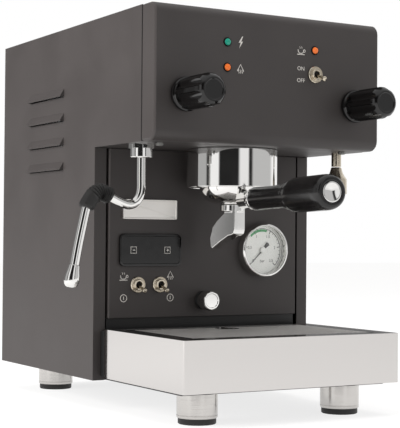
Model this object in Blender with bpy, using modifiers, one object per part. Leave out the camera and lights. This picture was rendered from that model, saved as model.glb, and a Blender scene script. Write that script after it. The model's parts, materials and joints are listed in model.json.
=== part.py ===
"""Compact espresso machine with two boilers: casing, group, portafilter, steam wand, hot water
spout, tray, tank, controls and the pieces inside. Metres, +Z up, +X to the right seen from the
front, +Y to the back. While it is modelled, X = 0 is the middle, Y = 0 the front of the head and
Z = 0 the table; at the end the frame moves to the middle of the footprint."""

import math

import bmesh
import bpy
from mathutils import Matrix, Vector

MM = 0.001

# Overall sizes
CASE_WIDTH = 255 * MM
CASE_HEIGHT = 385 * MM  # top edge above the table
CASE_DEPTH = 361 * MM  # front of the head to the back panel
HEAD_HEIGHT = 126.6 * MM  # the overhanging head, top to underside
HEAD_OVERHANG = 122.8 * MM  # front of the head to the front of the column
HEAD_COVER_DEPTH = 25 * MM  # how far the front cover wraps back, where the group leaves room
HEAD_ROUNDING = 10 * MM
SHEET = 1.5 * MM
GAP = 0.3 * MM  # between pieces that touch
SLIDE_GAP = 1.0 * MM  # between pieces that slide past each other

# Feet
FOOT_HEIGHT = 29 * MM
FOOT_RADIUS = 19 * MM
FOOT_RUBBER_HEIGHT = 5.5 * MM
FOOT_RUBBER_INSET = 1.2 * MM
FOOT_FROM_SIDE = 46.8 * MM
FOOT_FRONT_Y = -0.8 * MM
FOOT_FROM_BACK = 45.6 * MM

# Side panels and louvres
FLANGE_WIDTH = 13 * MM
LOUVRE_COUNT = 4
LOUVRE_PITCH = 25.3 * MM
LOUVRE_TOP_DROP = 69.7 * MM  # top of the casing to the lip of the highest louvre
LOUVRE_FRONT_Y = 197 * MM
LOUVRE_LENGTH = 88 * MM
LOUVRE_HEIGHT = 10 * MM
LOUVRE_DEPTH = 4.5 * MM
LOUVRE_WALL = 1.1 * MM

# Service panel and what is on it; heights are above the tray
PANEL_FROM_SIDE = 15.5 * MM
PANEL_PROUD = 1.8 * MM  # in front of the column flange
PANEL_RETURN = 13 * MM
PANEL_OVER_TRAY = 10 * MM
# How the panel's free height is shared out: its switches, display and name plate stand in one column
TOGGLES_SHARE = 0.2475  # below the switches
DISPLAY_SHARE = 0.1023  # between switches and display
PLATE_SHARE = 0.1487  # between display and name plate
GAUGE_SHARE = 0.356  # of the height that the gauge leaves, below it
REGULATOR_SHARE = 0.0444
DISPLAY_WIDTH = 69.6 * MM
DISPLAY_HEIGHT = 32.3 * MM
DISPLAY_CORNER = 5 * MM
DISPLAY_THICK = 3 * MM
DISPLAY_FROM_EDGE = 11 * MM
KEY_SIZE = 5 * MM
KEY_SPACING = 38.4 * MM
KEY_SHIFT = -0.4 * MM  # of the keys' middle from the display's
KEY_PROUD = 0.4 * MM
KEY_THICK = 2.0 * MM
KEY_POCKET = 2.4 * MM
KEY_CLEARANCE = 0.3 * MM
PLATE_WIDTH = 61 * MM
PLATE_HEIGHT = 19.5 * MM
PLATE_THICK = 3 * MM
PLATE_FROM_EDGE = 14.2 * MM
PANEL_TOGGLES_FROM_EDGE = (32.3 * MM, 57.4 * MM)
GAUGE_RADIUS = 28.5 * MM
GAUGE_RIM = 3.5 * MM
GAUGE_PROUD = 11.5 * MM
GAUGE_DIAL_PROUD = 3 * MM
GAUGE_CAN_DEPTH = 28 * MM
GAUGE_FROM_EDGE = 45.3 * MM
REGULATOR_X = -4 * MM
REGULATOR_RADIUS = 10 * MM
REGULATOR_LENGTH = 16 * MM
REGULATOR_STAND_OFF = 3 * MM
REGULATOR_SHAFT = 4 * MM

# Controls on the head; heights are below the top of the casing
LAMP_RADIUS = 4 * MM
LAMPS_X = -50.5 * MM
POWER_X = 49.4 * MM
CONTROL_ROW_DROPS = (31.8 * MM, 55.5 * MM)
TOGGLE_NUT_RADIUS = 8.3 * MM
TOGGLE_COLLAR_RADIUS = 6 * MM
TOGGLE_BORE_RADIUS = 5 * MM
TOGGLE_PROUD = 4.4 * MM
TOGGLE_PIVOT_PROUD = 1 * MM
TOGGLE_LEVER_LENGTH = 17.5 * MM
TOGGLE_ANGLE = math.radians(20)  # below straight out, at rest
KNOB_FROM_SIDE = 31.5 * MM
KNOB_DROP = 83.9 * MM
KNOB_RADIUS = 15.4 * MM
KNOB_SKIRT_RADIUS = 16 * MM
KNOB_LENGTH = 51 * MM
KNOB_STAND_OFF = 1.5 * MM
KNOB_LOBES = 8
SPINDLE_RADIUS = 6 * MM
SPINDLE_PROUD = 12 * MM

# Group and portafilter; heights are below the head's underside
BEZEL_RADIUS = 45.5 * MM
BEZEL_TO_PANEL = 3.5 * MM
BEZEL_WALL = 2 * MM
BEZEL_DEPTH = 38.4 * MM
COLLAR_RADIUS = BEZEL_RADIUS - BEZEL_WALL - GAP
COLLAR_DROP = 32 * MM
GROUP_NECK_RADIUS = 36 * MM
GROUP_NECK_HEIGHT = 40 * MM
RIM_RADIUS = 34.6 * MM
RIM_CLEARANCE = 0.6 * MM
EAR_RADIUS = 38.8 * MM
EAR_WIDTH = 20 * MM
BASKET_RADIUS = 28 * MM
BOWL_BOTTOM_DROP = 54.7 * MM
HANDLE_DROP = 51.4 * MM
HANDLE_TURN = math.radians(5.5)  # to the left of straight forward
HANDLE_RISE = math.radians(1)
HANDLE_NECK_RADIUS = 8.5 * MM
HANDLE_START = 56 * MM
HANDLE_SWELL = 128 * MM
HANDLE_END = 195.5 * MM
HANDLE_THIN_RADIUS = 11.3 * MM
HANDLE_THICK_RADIUS = 16 * MM
HANDLE_CAP_RADIUS = 9.4 * MM
SPOUT_TURN = math.radians(25)  # to the left of straight back
SPOUT_WIDTH = 19 * MM
SPOUT_WALL = 2 * MM
SPOUT_COLLAR_RADIUS = 11.5 * MM
SPOUT_COLLAR_HEIGHT = 7 * MM
SPOUT_DROP = 99.1 * MM

# Steam wand and hot water spout, one near each side of the head
WAND_FROM_SIDE = 14 * MM
WAND_Y = 51 * MM
TUBE_RADIUS = 4.4 * MM
BALL_RADIUS = 5.8 * MM
BALL_DROP = 8.6 * MM
NUT_DROP = 13.6 * MM
NUT_RADIUS = 12 * MM
NUT_MOUTH_RADIUS = 5.5 * MM
GRIP_RADIUS = 8.2 * MM
TIP_RADIUS = 7.3 * MM
TIP_LENGTH = 21 * MM
# middle of the steam tube seen from the front: (to the left of the ball, below the underside)
WAND_ROUTE = (
    (0, 8.6), (0, 30), (0, 43), (2, 50.5), (6.5, 56), (12, 58), (18, 57), (25, 54.3), (32, 51),
    (38, 48.2), (43, 46.9), (48, 48.9), (53, 54.6), (56.8, 62), (60, 75), (64.6, 96), (68, 114),
)
ROUTE_STEPS = 2  # points of the tube for each point of the route
WAND_GRIP_SPAN = (8, 13)  # the route's points that the grip covers
WATER_TUBE_RADIUS = 5 * MM
WATER_TUBE_DROP = 14 * MM
WATER_BELL_RADIUS = 11 * MM
WATER_BELL_DROP = 42 * MM

# Drip tray
TRAY_REACH = 43.7 * MM  # in front of the head
TRAY_FROM_SIDE = 8 * MM
TRAY_BOTTOM = 32 * MM
TRAY_TOP = 79.6 * MM
TRAY_BACK_GAP = 1.3 * MM  # basin to column flange
TRAY_REAR_DEPTH = 8 * MM  # the basin's rear end, seen behind the cover
TRAY_SHEET = 1.2 * MM
TRAY_BORDER = 12 * MM
BASIN_WALL = 2 * MM
GRID_COLUMNS = 11
GRID_ROWS = 6
GRID_HOLE = 9 * MM
GRID_SKIRT = 9 * MM

# Water tank, top panel and lid
TANK_WIDTH = 190 * MM
TANK_LENGTH = 122 * MM
TANK_HEIGHT = 230 * MM
TANK_WALL = 2.5 * MM
TANK_CORNER = 8 * MM
TANK_FROM_BACK = 20 * MM
TANK_CLEARANCE = 3 * MM
UNDER_TANK = 74 * MM  # least room below it for the pump and the electronics
TOP_RECESS = 2.3 * MM
LID_OVERLAP = 5 * MM
LID_THICK = 2 * MM
LID_LIP = 6 * MM
TOP_VENT_COUNT = 7
TOP_VENT_PITCH = 18 * MM

# Pieces inside
STEAM_BOILER_RADIUS = 42 * MM
STEAM_BOILER_LENGTH = 160 * MM
BREW_BOILER_RADIUS = 33 * MM
BREW_BOILER_HEIGHT = 62 * MM
PUMP_RADIUS = 27 * MM
PUMP_LENGTH = 100 * MM

# What follows from the sizes above
HALF = CASE_WIDTH / 2
UNDERSIDE = CASE_HEIGHT - HEAD_HEIGHT
INNER_HALF = HALF - SHEET - GAP
PANEL_HALF = HALF - PANEL_FROM_SIDE
PANEL_Y = HEAD_OVERHANG - PANEL_PROUD
PANEL_BOTTOM = TRAY_TOP + PANEL_OVER_TRAY
KNOB_X = HALF - KNOB_FROM_SIDE
KNOB_Z = CASE_HEIGHT - KNOB_DROP
WAND_X = HALF - WAND_FROM_SIDE
PANEL_TOP = UNDERSIDE - GAP
PANEL_HEIGHT = PANEL_TOP - PANEL_BOTTOM
PANEL_SPARE = PANEL_HEIGHT - 2 * TOGGLE_NUT_RADIUS - DISPLAY_HEIGHT - PLATE_HEIGHT
PANEL_TOGGLE_Z = PANEL_BOTTOM + PANEL_SPARE * TOGGLES_SHARE + TOGGLE_NUT_RADIUS
DISPLAY_Z = PANEL_TOGGLE_Z + TOGGLE_NUT_RADIUS + PANEL_SPARE * DISPLAY_SHARE + DISPLAY_HEIGHT / 2
PLATE_Z = DISPLAY_Z + DISPLAY_HEIGHT / 2 + PANEL_SPARE * PLATE_SHARE + PLATE_HEIGHT / 2
GAUGE_Z = PANEL_BOTTOM + (PANEL_HEIGHT - 2 * GAUGE_RADIUS) * GAUGE_SHARE + GAUGE_RADIUS
REGULATOR_Z = PANEL_BOTTOM + (PANEL_HEIGHT - 2 * REGULATOR_RADIUS) * REGULATOR_SHARE + REGULATOR_RADIUS
GAUGE_CENTRE = Vector((PANEL_HALF - GAUGE_FROM_EDGE, PANEL_Y, GAUGE_Z))
DISPLAY_X = -PANEL_HALF + DISPLAY_FROM_EDGE + DISPLAY_WIDTH / 2
TANK_BACK_Y = CASE_DEPTH - TANK_FROM_BACK
TANK_FRONT_Y = TANK_BACK_Y - TANK_LENGTH
TOP_Z = CASE_HEIGHT - TOP_RECESS
TANK_BOTTOM = max(TOP_Z - TANK_HEIGHT, FOOT_HEIGHT + UNDER_TANK)
TRAY_COVER_BACK_Y = HEAD_OVERHANG - TRAY_BACK_GAP - TRAY_REAR_DEPTH
GROUP_Y = PANEL_Y - BEZEL_TO_PANEL - BEZEL_RADIUS
COVER_BACK_Y = min(HEAD_COVER_DEPTH, GROUP_Y - GROUP_NECK_RADIUS - 2 * SLIDE_GAP)
GROUP_AXIS = Vector((0, GROUP_Y, 0))
OUT = Vector((0, -1, 0))
UP = Vector((0, 0, 1))
LEFT, RIGHT = -1, 1

machine = None  # the empty that carries every piece
pieces = None  # the collection of pieces


# Modelling helpers


def new_object(name, mesh):
    obj = bpy.data.objects.new(name, mesh)
    pieces.objects.link(obj)
    return obj


def from_bmesh(name, bm):
    """An object from a closed bmesh, with its faces pointing out."""
    bmesh.ops.recalc_face_normals(bm, faces=bm.faces)
    mesh = bpy.data.meshes.new(name)
    bm.to_mesh(mesh)
    bm.free()
    return new_object(name, mesh)


def settle(obj, weld=False):
    """Turns an object with its modifiers, or a curve, into a plain mesh in the same place."""
    bpy.context.view_layer.update()
    evaluated = obj.evaluated_get(bpy.context.evaluated_depsgraph_get())
    mesh = bpy.data.meshes.new_from_object(evaluated)
    mesh.transform(obj.matrix_world)
    if weld:
        bm = bmesh.new()
        bm.from_mesh(mesh)
        bmesh.ops.remove_doubles(bm, verts=bm.verts, dist=1e-6)
        bmesh.ops.recalc_face_normals(bm, faces=bm.faces)
        bm.to_mesh(mesh)
        bm.free()
    name = obj.name
    bpy.data.objects.remove(obj)
    mesh.name = name
    return new_object(name, mesh)


def combine(target, tools, operation):
    for tool in tools:
        change = target.modifiers.new(operation.lower(), "BOOLEAN")
        change.operation = operation
        change.solver = "EXACT"
        change.object = tool
        target = settle(target)
        bpy.data.objects.remove(tool)
    return target


def cut(target, *tools):
    return combine(target, tools, "DIFFERENCE")


def join(target, *tools):
    return combine(target, tools, "UNION")


def box(name, low, high, bevel=0.0, segments=2, edges=None):
    """A box between two corners. edges picks those to round by their direction."""
    low, high = Vector(low), Vector(high)
    bm = bmesh.new()
    bmesh.ops.create_cube(bm, size=1)
    bmesh.ops.scale(bm, vec=high - low, verts=bm.verts)
    bmesh.ops.translate(bm, vec=(low + high) / 2, verts=bm.verts)
    if bevel:
        chosen = [e for e in bm.edges if edges is None or along(e, edges)]
        bmesh.ops.bevel(bm, geom=chosen, offset=bevel, segments=segments, affect="EDGES", profile=0.5)
    return from_bmesh(name, bm)


def along(edge, direction):
    run = (edge.verts[1].co - edge.verts[0].co).normalized()
    return abs(run.dot(Vector(direction))) > 0.99


def cylinder(name, radius, start, end, segments=24):
    start, end = Vector(start), Vector(end)
    bm = bmesh.new()
    bmesh.ops.create_cone(
        bm, cap_ends=True, segments=segments, radius1=radius, radius2=radius, depth=(end - start).length
    )
    turn = UP.rotation_difference(end - start).to_matrix().to_4x4()
    bmesh.ops.transform(bm, matrix=Matrix.Translation((start + end) / 2) @ turn, verts=bm.verts)
    return from_bmesh(name, bm)


def turned(name, profile, base, direction=UP, steps=24, closed=False):
    """A profile of (radius, height) turned about an axis through base. It runs down its outer side."""
    bm = bmesh.new()
    points = [bm.verts.new((r, 0, h)) for r, h in profile]
    for a, b in zip(points, points[1:]):
        bm.edges.new((a, b))
    if closed:
        bm.edges.new((points[-1], points[0]))
    mesh = bpy.data.meshes.new(name)
    bm.to_mesh(mesh)
    bm.free()
    obj = new_object(name, mesh)
    screw = obj.modifiers.new("turn", "SCREW")
    screw.steps = screw.render_steps = steps
    screw.use_merge_vertices = True
    screw.merge_threshold = 1e-6
    obj.rotation_mode = "QUATERNION"
    obj.rotation_quaternion = UP.rotation_difference(Vector(direction))
    obj.location = base
    return settle(obj, weld=True)


def tube(name, points, radius, resolution=2):
    """A round rod through a list of points."""
    curve = bpy.data.curves.new(name, "CURVE")
    curve.dimensions = "3D"
    curve.bevel_depth = radius
    curve.bevel_resolution = resolution
    curve.use_fill_caps = True
    spline = curve.splines.new("POLY")
    spline.points.add(len(points) - 1)
    for place, point in zip(spline.points, points):
        place.co = (*point, 1)
    return settle(new_object(name, curve), weld=True)


def plate(name, outline, low, high, axis="Z", holes=()):
    """A flat outline, with holes, between two planes across an axis.
    Outlines are (x, y) for axis Z, (x, z) for axis Y and (y, z) for axis X."""
    curve = bpy.data.curves.new(name, "CURVE")
    curve.dimensions = "2D"
    curve.fill_mode = "BOTH"
    curve.extrude = (high - low) / 2
    for ring in (outline, *holes):
        spline = curve.splines.new("POLY")
        spline.points.add(len(ring) - 1)
        for place, (a, b) in zip(spline.points, ring):
            place.co = (a, b, 0, 1)
        spline.use_cyclic_u = True
    obj = settle(new_object(name, curve), weld=True)
    middle = (low + high) / 2
    columns = {
        "Z": ((1, 0, 0), (0, 1, 0), (0, 0, 1)),
        "Y": ((1, 0, 0), (0, 0, 1), (0, 1, 0)),
        "X": ((0, 1, 0), (0, 0, 1), (1, 0, 0)),
    }[axis]
    turn = Matrix(columns).transposed().to_4x4()
    obj.data.transform(Matrix.Translation(Vector(columns[2]) * middle) @ turn)
    if axis == "Y":
        obj.data.flip_normals()
    return obj


def rectangle(x0, x1, y0, y1):
    return [(x0, y0), (x1, y0), (x1, y1), (x0, y1)]


def ring(x, y, radius, count=32):
    return [
        (x + radius * math.cos(math.tau * i / count), y + radius * math.sin(math.tau * i / count))
        for i in range(count)
    ]


def rounded_rectangle(x0, x1, y0, y1, radius, steps=6):
    corners = ((x1, y1, 0), (x0, y1, 1), (x0, y0, 2), (x1, y0, 3))
    points = []
    for x, y, quarter in corners:
        cx = x - math.copysign(radius, x - (x0 + x1) / 2)
        cy = y - math.copysign(radius, y - (y0 + y1) / 2)
        for i in range(steps + 1):
            angle = math.pi / 2 * (quarter + i / steps)
            points.append((cx + radius * math.cos(angle), cy + radius * math.sin(angle)))
    return points


def shell(name, low, high, thickness, open_side, rounds=()):
    """A box with one side left off, given walls inside its outer size.
    rounds lists (edge test, radius, segments), each applied in turn."""
    low, high = Vector(low), Vector(high)
    bm = bmesh.new()
    bmesh.ops.create_cube(bm, size=1)
    bmesh.ops.scale(bm, vec=high - low, verts=bm.verts)
    bmesh.ops.translate(bm, vec=(low + high) / 2, verts=bm.verts)
    bm.normal_update()
    side = Vector(open_side)
    gone = [f for f in bm.faces if f.normal.dot(side) > 0.99]
    bmesh.ops.delete(bm, geom=gone, context="FACES")
    for test, radius, segments in rounds:
        chosen = [e for e in bm.edges if len(e.link_faces) == 2 and test(e)]
        bmesh.ops.bevel(bm, geom=chosen, offset=radius, segments=segments, affect="EDGES", profile=0.5)
    mesh = bpy.data.meshes.new(name)
    bm.to_mesh(mesh)
    bm.free()
    obj = new_object(name, mesh)
    wall = obj.modifiers.new("wall", "SOLIDIFY")
    wall.thickness = thickness
    wall.offset = -1
    wall.use_even_offset = True
    return settle(obj)


def smooth_route(points, steps=ROUTE_STEPS):
    """Points along a smooth curve through the given ones."""
    dense = []
    for i in range(len(points) - 1):
        before = points[max(i - 1, 0)]
        a, b = points[i], points[i + 1]
        after = points[min(i + 2, len(points) - 1)]
        for k in range(steps):
            t = k / steps
            dense.append(
                0.5 * (2 * a + (b - before) * t + (2 * before - 5 * a + 4 * b - after) * t * t
                       + (3 * a - before - 3 * b + after) * t**3)
            )
    dense.append(points[-1])
    return dense


MATERIALS = {
    # name: (red, green, blue, roughness, metallic)
    "powder_coat": (0.065, 0.06, 0.058, 0.6, 0.0),
    "chrome": (0.8, 0.8, 0.8, 0.06, 1.0),
    "polished_steel": (0.74, 0.73, 0.71, 0.12, 1.0),
    "brushed_steel": (0.6, 0.59, 0.57, 0.35, 1.0),
    "black_gloss": (0.012, 0.012, 0.012, 0.2, 0.0),
    "black_plastic": (0.02, 0.02, 0.02, 0.5, 0.0),
    "green_lens": (0.02, 0.6, 0.08, 0.2, 0.0),
    "orange_lens": (0.9, 0.25, 0.02, 0.2, 0.0),
    "white_dial": (0.9, 0.9, 0.88, 0.5, 0.0),
    "clear_plastic": (0.75, 0.8, 0.82, 0.2, 0.0),
    "copper": (0.8, 0.4, 0.25, 0.3, 1.0),
    "rubber": (0.02, 0.02, 0.02, 0.8, 0.0),
    "steel": (0.45, 0.45, 0.45, 0.4, 1.0),
}


def material(name):
    found = bpy.data.materials.get(name)
    if found:
        return found
    red, green, blue, roughness, metallic = MATERIALS[name]
    made = bpy.data.materials.new(name)
    made.use_nodes = True
    shader = made.node_tree.nodes["Principled BSDF"]
    shader.inputs["Base Color"].default_value = (red, green, blue, 1)
    shader.inputs["Roughness"].default_value = roughness
    shader.inputs["Metallic"].default_value = metallic
    return made


def fit(obj, finish, pivot=(0, 0, 0)):
    """Gives a finished piece its material and puts its origin on its pivot, under the machine's empty."""
    pivot = Vector(pivot)
    obj.data.transform(Matrix.Translation(-pivot))
    obj.data.materials.clear()
    obj.data.materials.append(material(finish))
    obj.data.shade_smooth()
    obj.data.set_sharp_from_angle(angle=math.radians(35))
    obj.parent = machine
    obj.location = pivot
    return obj


# Casing


def make_chassis_base():
    """A floor with a tongue under the tray, low side walls and a bulkhead behind the tray."""
    tongue = HALF - FLANGE_WIDTH - SHEET
    step_y = HEAD_OVERHANG + SHEET + GAP
    back_y = CASE_DEPTH - SHEET - GAP
    front_y = FOOT_FRONT_Y - FOOT_RADIUS - 8 * MM
    low, top, thick = FOOT_HEIGHT, FOOT_HEIGHT + 2 * MM, SHEET
    inset, rise = 1 * MM, 14 * MM
    base = box("chassis_base", (-INNER_HALF, step_y, low), (INNER_HALF, back_y, top))
    reach = box("tongue", (-tongue, front_y, low + GAP), (tongue, step_y + 10 * MM, top - GAP))
    bulkhead = box(
        "bulkhead", (-tongue + inset, step_y + inset, low + inset),
        (tongue - inset, step_y + inset + thick, PANEL_BOTTOM - GAP)
    )
    walls = []
    for side in (LEFT, RIGHT):
        x = side * (INNER_HALF - inset - thick / 2)
        walls.append(
            box("side_wall", (x - thick / 2, step_y + 4 * MM, low + inset),
                (x + thick / 2, back_y - 4 * MM, top + rise))
        )
    return fit(join(base, reach, bulkhead, *walls), "steel")


def make_side_panel(side, name):
    front_y = COVER_BACK_Y + GAP
    outline = [
        (front_y, UNDERSIDE), (HEAD_OVERHANG, UNDERSIDE), (HEAD_OVERHANG, FOOT_HEIGHT),
        (CASE_DEPTH, FOOT_HEIGHT), (CASE_DEPTH, CASE_HEIGHT), (front_y, CASE_HEIGHT),
    ]
    outer, inner = side * HALF, side * (HALF - SHEET)
    skin = plate(name, outline, min(outer, inner), max(outer, inner), axis="X")
    turn_in = side * (HALF - FLANGE_WIDTH)
    overlap = side * (HALF - SHEET / 2)
    flange = box(
        "flange",
        (min(turn_in, overlap), HEAD_OVERHANG, FOOT_HEIGHT),
        (max(turn_in, overlap), HEAD_OVERHANG + SHEET, UNDERSIDE - GAP),
    )
    skin = join(skin, flange)
    for row in range(LOUVRE_COUNT):
        lip = CASE_HEIGHT - LOUVRE_TOP_DROP - row * LOUVRE_PITCH
        hood = [(outer - side * SHEET / 2, lip), (outer + side * LOUVRE_DEPTH, lip),
                (outer + side * LOUVRE_DEPTH, lip + 0.8 * MM),
                (outer - side * SHEET / 2, lip + LOUVRE_HEIGHT)]
        inside = [(outer + side * (LOUVRE_DEPTH - LOUVRE_WALL), lip - GAP),
                  (outer + side * (LOUVRE_DEPTH - LOUVRE_WALL), lip + 0.2 * MM),
                  (outer, lip + LOUVRE_HEIGHT - 2 * LOUVRE_WALL - 0.6 * MM),
                  (outer - side * 2 * SHEET, lip + LOUVRE_HEIGHT - 2 * LOUVRE_WALL - 0.6 * MM),
                  (outer - side * 2 * SHEET, lip - GAP)]
        back_y = LOUVRE_FRONT_Y + LOUVRE_LENGTH
        bulge = plate("hood", hood, LOUVRE_FRONT_Y, back_y, axis="Y")
        slot = plate("slot", inside, LOUVRE_FRONT_Y + LOUVRE_WALL, back_y - LOUVRE_WALL, axis="Y")
        for tool in (bulge, slot):
            point_out(tool)
        skin = cut(join(skin, bulge), slot)
    return fit(skin, "powder_coat")


def point_out(obj):
    """Turns every face of a closed mesh outwards."""
    bm = bmesh.new()
    bm.from_mesh(obj.data)
    bmesh.ops.recalc_face_normals(bm, faces=bm.faces)
    bm.to_mesh(obj.data)
    bm.free()


def make_rear_panel():
    panel = box(
        "rear_panel",
        (-INNER_HALF, CASE_DEPTH - SHEET, FOOT_HEIGHT + GAP),
        (INNER_HALF, CASE_DEPTH, CASE_HEIGHT - 1 * MM),
    )
    x, z, width, height = inlet_place()
    opening = box(
        "inlet_opening",
        (x - width / 2, CASE_DEPTH - 5 * MM, z - height / 2),
        (x + width / 2, CASE_DEPTH + 5 * MM, z + height / 2),
    )
    return fit(cut(panel, opening), "powder_coat")


def inlet_place():
    """Middle, width and height of the mains inlet's opening."""
    return HALF - 55 * MM, FOOT_HEIGHT + 35 * MM, 28 * MM, 21 * MM


def make_front_cover():
    def lengthwise(edge):
        return along(edge, (1, 0, 0)) and all(v.co.y < GAP for v in edge.verts)

    def rim(edge):
        flat = [f for f in edge.link_faces if abs(f.normal.x) > 0.99]
        return len(flat) == 1

    cover = shell(
        "front_cover", (-HALF, 0, UNDERSIDE), (HALF, COVER_BACK_Y, CASE_HEIGHT), SHEET, (0, 1, 0),
        ((lengthwise, HEAD_ROUNDING, 5), (rim, 2 * MM, 2)),
    )
    holes = []
    for x, drop in lamp_places():
        holes.append(head_bore(x, CASE_HEIGHT - drop, LAMP_RADIUS * 0.85 + GAP))
    holes.append(head_bore(POWER_X, CASE_HEIGHT - CONTROL_ROW_DROPS[1], TOGGLE_COLLAR_RADIUS + GAP))
    for side in (LEFT, RIGHT):
        holes.append(head_bore(side * KNOB_X, KNOB_Z, SPINDLE_RADIUS + SLIDE_GAP))
    return fit(cut(cover, *holes), "powder_coat")


def head_bore(x, z, radius):
    return cylinder("bore", radius, (x, -5 * MM, z), (x, 5 * MM, z), 24)


def lamp_places():
    """Each lamp's X and its drop from the top: power green, then heating orange."""
    high, low = CONTROL_ROW_DROPS
    return (LAMPS_X, high), (LAMPS_X, low), (POWER_X, high)


def make_head_floor():
    outline = rectangle(-INNER_HALF, INNER_HALF, COVER_BACK_Y + GAP, HEAD_OVERHANG + SHEET)
    holes = (
        ring(0, GROUP_Y, GROUP_NECK_RADIUS + SLIDE_GAP),
        ring(-WAND_X, WAND_Y, SPINDLE_RADIUS + GAP, 24),
        ring(WAND_X, WAND_Y, WATER_TUBE_RADIUS + GAP, 24),
    )
    return fit(plate("head_floor", outline, UNDERSIDE, UNDERSIDE + SHEET, holes=holes), "powder_coat")


def make_service_panel():
    panel = shell(
        "service_panel", (-PANEL_HALF, PANEL_Y, PANEL_BOTTOM),
        (PANEL_HALF, PANEL_Y + PANEL_RETURN, UNDERSIDE - GAP),
        SHEET, (0, 1, 0), ((lambda edge: along(edge, (0, 0, 1)) and edge.verts[0].co.y < PANEL_Y + GAP,
            1.5 * MM, 2),),
    )
    inset = 6 * MM
    tools = [
        box("display_opening",
            (DISPLAY_X - DISPLAY_WIDTH / 2 + inset, PANEL_Y - 5 * MM,
                DISPLAY_Z - DISPLAY_HEIGHT / 2 + inset),
            (DISPLAY_X + DISPLAY_WIDTH / 2 - inset, PANEL_Y + 5 * MM,
                DISPLAY_Z + DISPLAY_HEIGHT / 2 - inset)),
        panel_bore(GAUGE_CENTRE.x, GAUGE_CENTRE.z, GAUGE_RADIUS - GAUGE_RIM),
        panel_bore(REGULATOR_X, REGULATOR_Z, REGULATOR_SHAFT + SLIDE_GAP),
    ]
    for x, z in panel_toggle_places():
        tools.append(panel_bore(x, z, TOGGLE_COLLAR_RADIUS + GAP))
    return fit(cut(panel, *tools), "powder_coat")


def panel_bore(x, z, radius):
    return cylinder("bore", radius, (x, PANEL_Y - 5 * MM, z), (x, PANEL_Y + 5 * MM, z), 32)


def panel_toggle_places():
    return [(-PANEL_HALF + edge, PANEL_TOGGLE_Z) for edge in PANEL_TOGGLES_FROM_EDGE]


def tank_opening():
    half = TANK_WIDTH / 2 + TANK_CLEARANCE
    return rectangle(-half, half, TANK_FRONT_Y - TANK_CLEARANCE, TANK_BACK_Y + TANK_CLEARANCE)


def make_top_panel():
    front_y = COVER_BACK_Y + GAP
    outline = rectangle(-INNER_HALF, INNER_HALF, front_y, CASE_DEPTH - SHEET - GAP)
    first = front_y + 40 * MM
    half = INNER_HALF - 30 * MM
    vents = [
        rounded_rectangle(-half, half, first + i * TOP_VENT_PITCH, first + i * TOP_VENT_PITCH + 6 * MM,
            2.9 * MM, 3)
        for i in range(TOP_VENT_COUNT)
        if first + (i + 1) * TOP_VENT_PITCH < TANK_FRONT_Y - TANK_CLEARANCE
    ]
    panel = plate("top_panel", outline, TOP_Z - SHEET, TOP_Z, holes=(tank_opening(), *vents))
    return fit(panel, "powder_coat")


def make_tank_lid():
    """The lid's plate and, face to face under it, the block that centres it in the tank."""
    half = TANK_WIDTH / 2 + TANK_CLEARANCE + LID_OVERLAP
    low_y = TANK_FRONT_Y - TANK_CLEARANCE - LID_OVERLAP
    high_y = TANK_BACK_Y + TANK_CLEARANCE + LID_OVERLAP
    low = TOP_Z + GAP
    plate_piece = box("tank_lid", (-half, low_y, low), (half, high_y, low + LID_THICK), 0.6 * MM, 2)
    fit(plate_piece, "black_plastic", (0, TANK_BACK_Y, TOP_Z))
    inner = TANK_WIDTH / 2 - TANK_WALL - SLIDE_GAP
    lip = box(
        "lid_lip",
        (-inner, TANK_FRONT_Y + TANK_WALL + SLIDE_GAP, TOP_Z - LID_LIP),
        (inner, TANK_BACK_Y - TANK_WALL - SLIDE_GAP, low - GAP), TANK_CORNER, 2, (0, 0, 1),
    )
    fit(lip, "black_plastic", (0, TANK_BACK_Y, TOP_Z))


def make_water_tank():
    half = TANK_WIDTH / 2

    def upright(edge):
        return along(edge, (0, 0, 1))

    tank = shell(
        "water_tank", (-half, TANK_FRONT_Y, TANK_BOTTOM), (half, TANK_BACK_Y, TOP_Z - SHEET - GAP),
        TANK_WALL, (0, 0, 1), ((upright, TANK_CORNER, 3),),
    )
    return fit(tank, "clear_plastic", (0, TANK_BACK_Y, TANK_BOTTOM))


def make_foot(name, x, y):
    rubber = FOOT_RADIUS - FOOT_RUBBER_INSET
    top = FOOT_HEIGHT - GAP
    profile = [
        (0, top), (FOOT_RADIUS, top), (FOOT_RADIUS, FOOT_RUBBER_HEIGHT + 0.5 * MM),
        (FOOT_RADIUS - 0.5 * MM, FOOT_RUBBER_HEIGHT), (rubber, FOOT_RUBBER_HEIGHT),
        (rubber, 1 * MM), (rubber - 1 * MM, 0), (0, 0),
    ]
    return fit(turned(name, profile, (x, y, 0)), "brushed_steel")


def make_feet():
    x = HALF - FOOT_FROM_SIDE
    back_y = CASE_DEPTH - FOOT_FROM_BACK
    for side, word in ((LEFT, "left"), (RIGHT, "right")):
        make_foot(f"foot_front_{word}", side * x, FOOT_FRONT_Y)
        make_foot(f"foot_rear_{word}", side * x, back_y)


# Drip tray


def tray_half():
    return HALF - TRAY_FROM_SIDE


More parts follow.
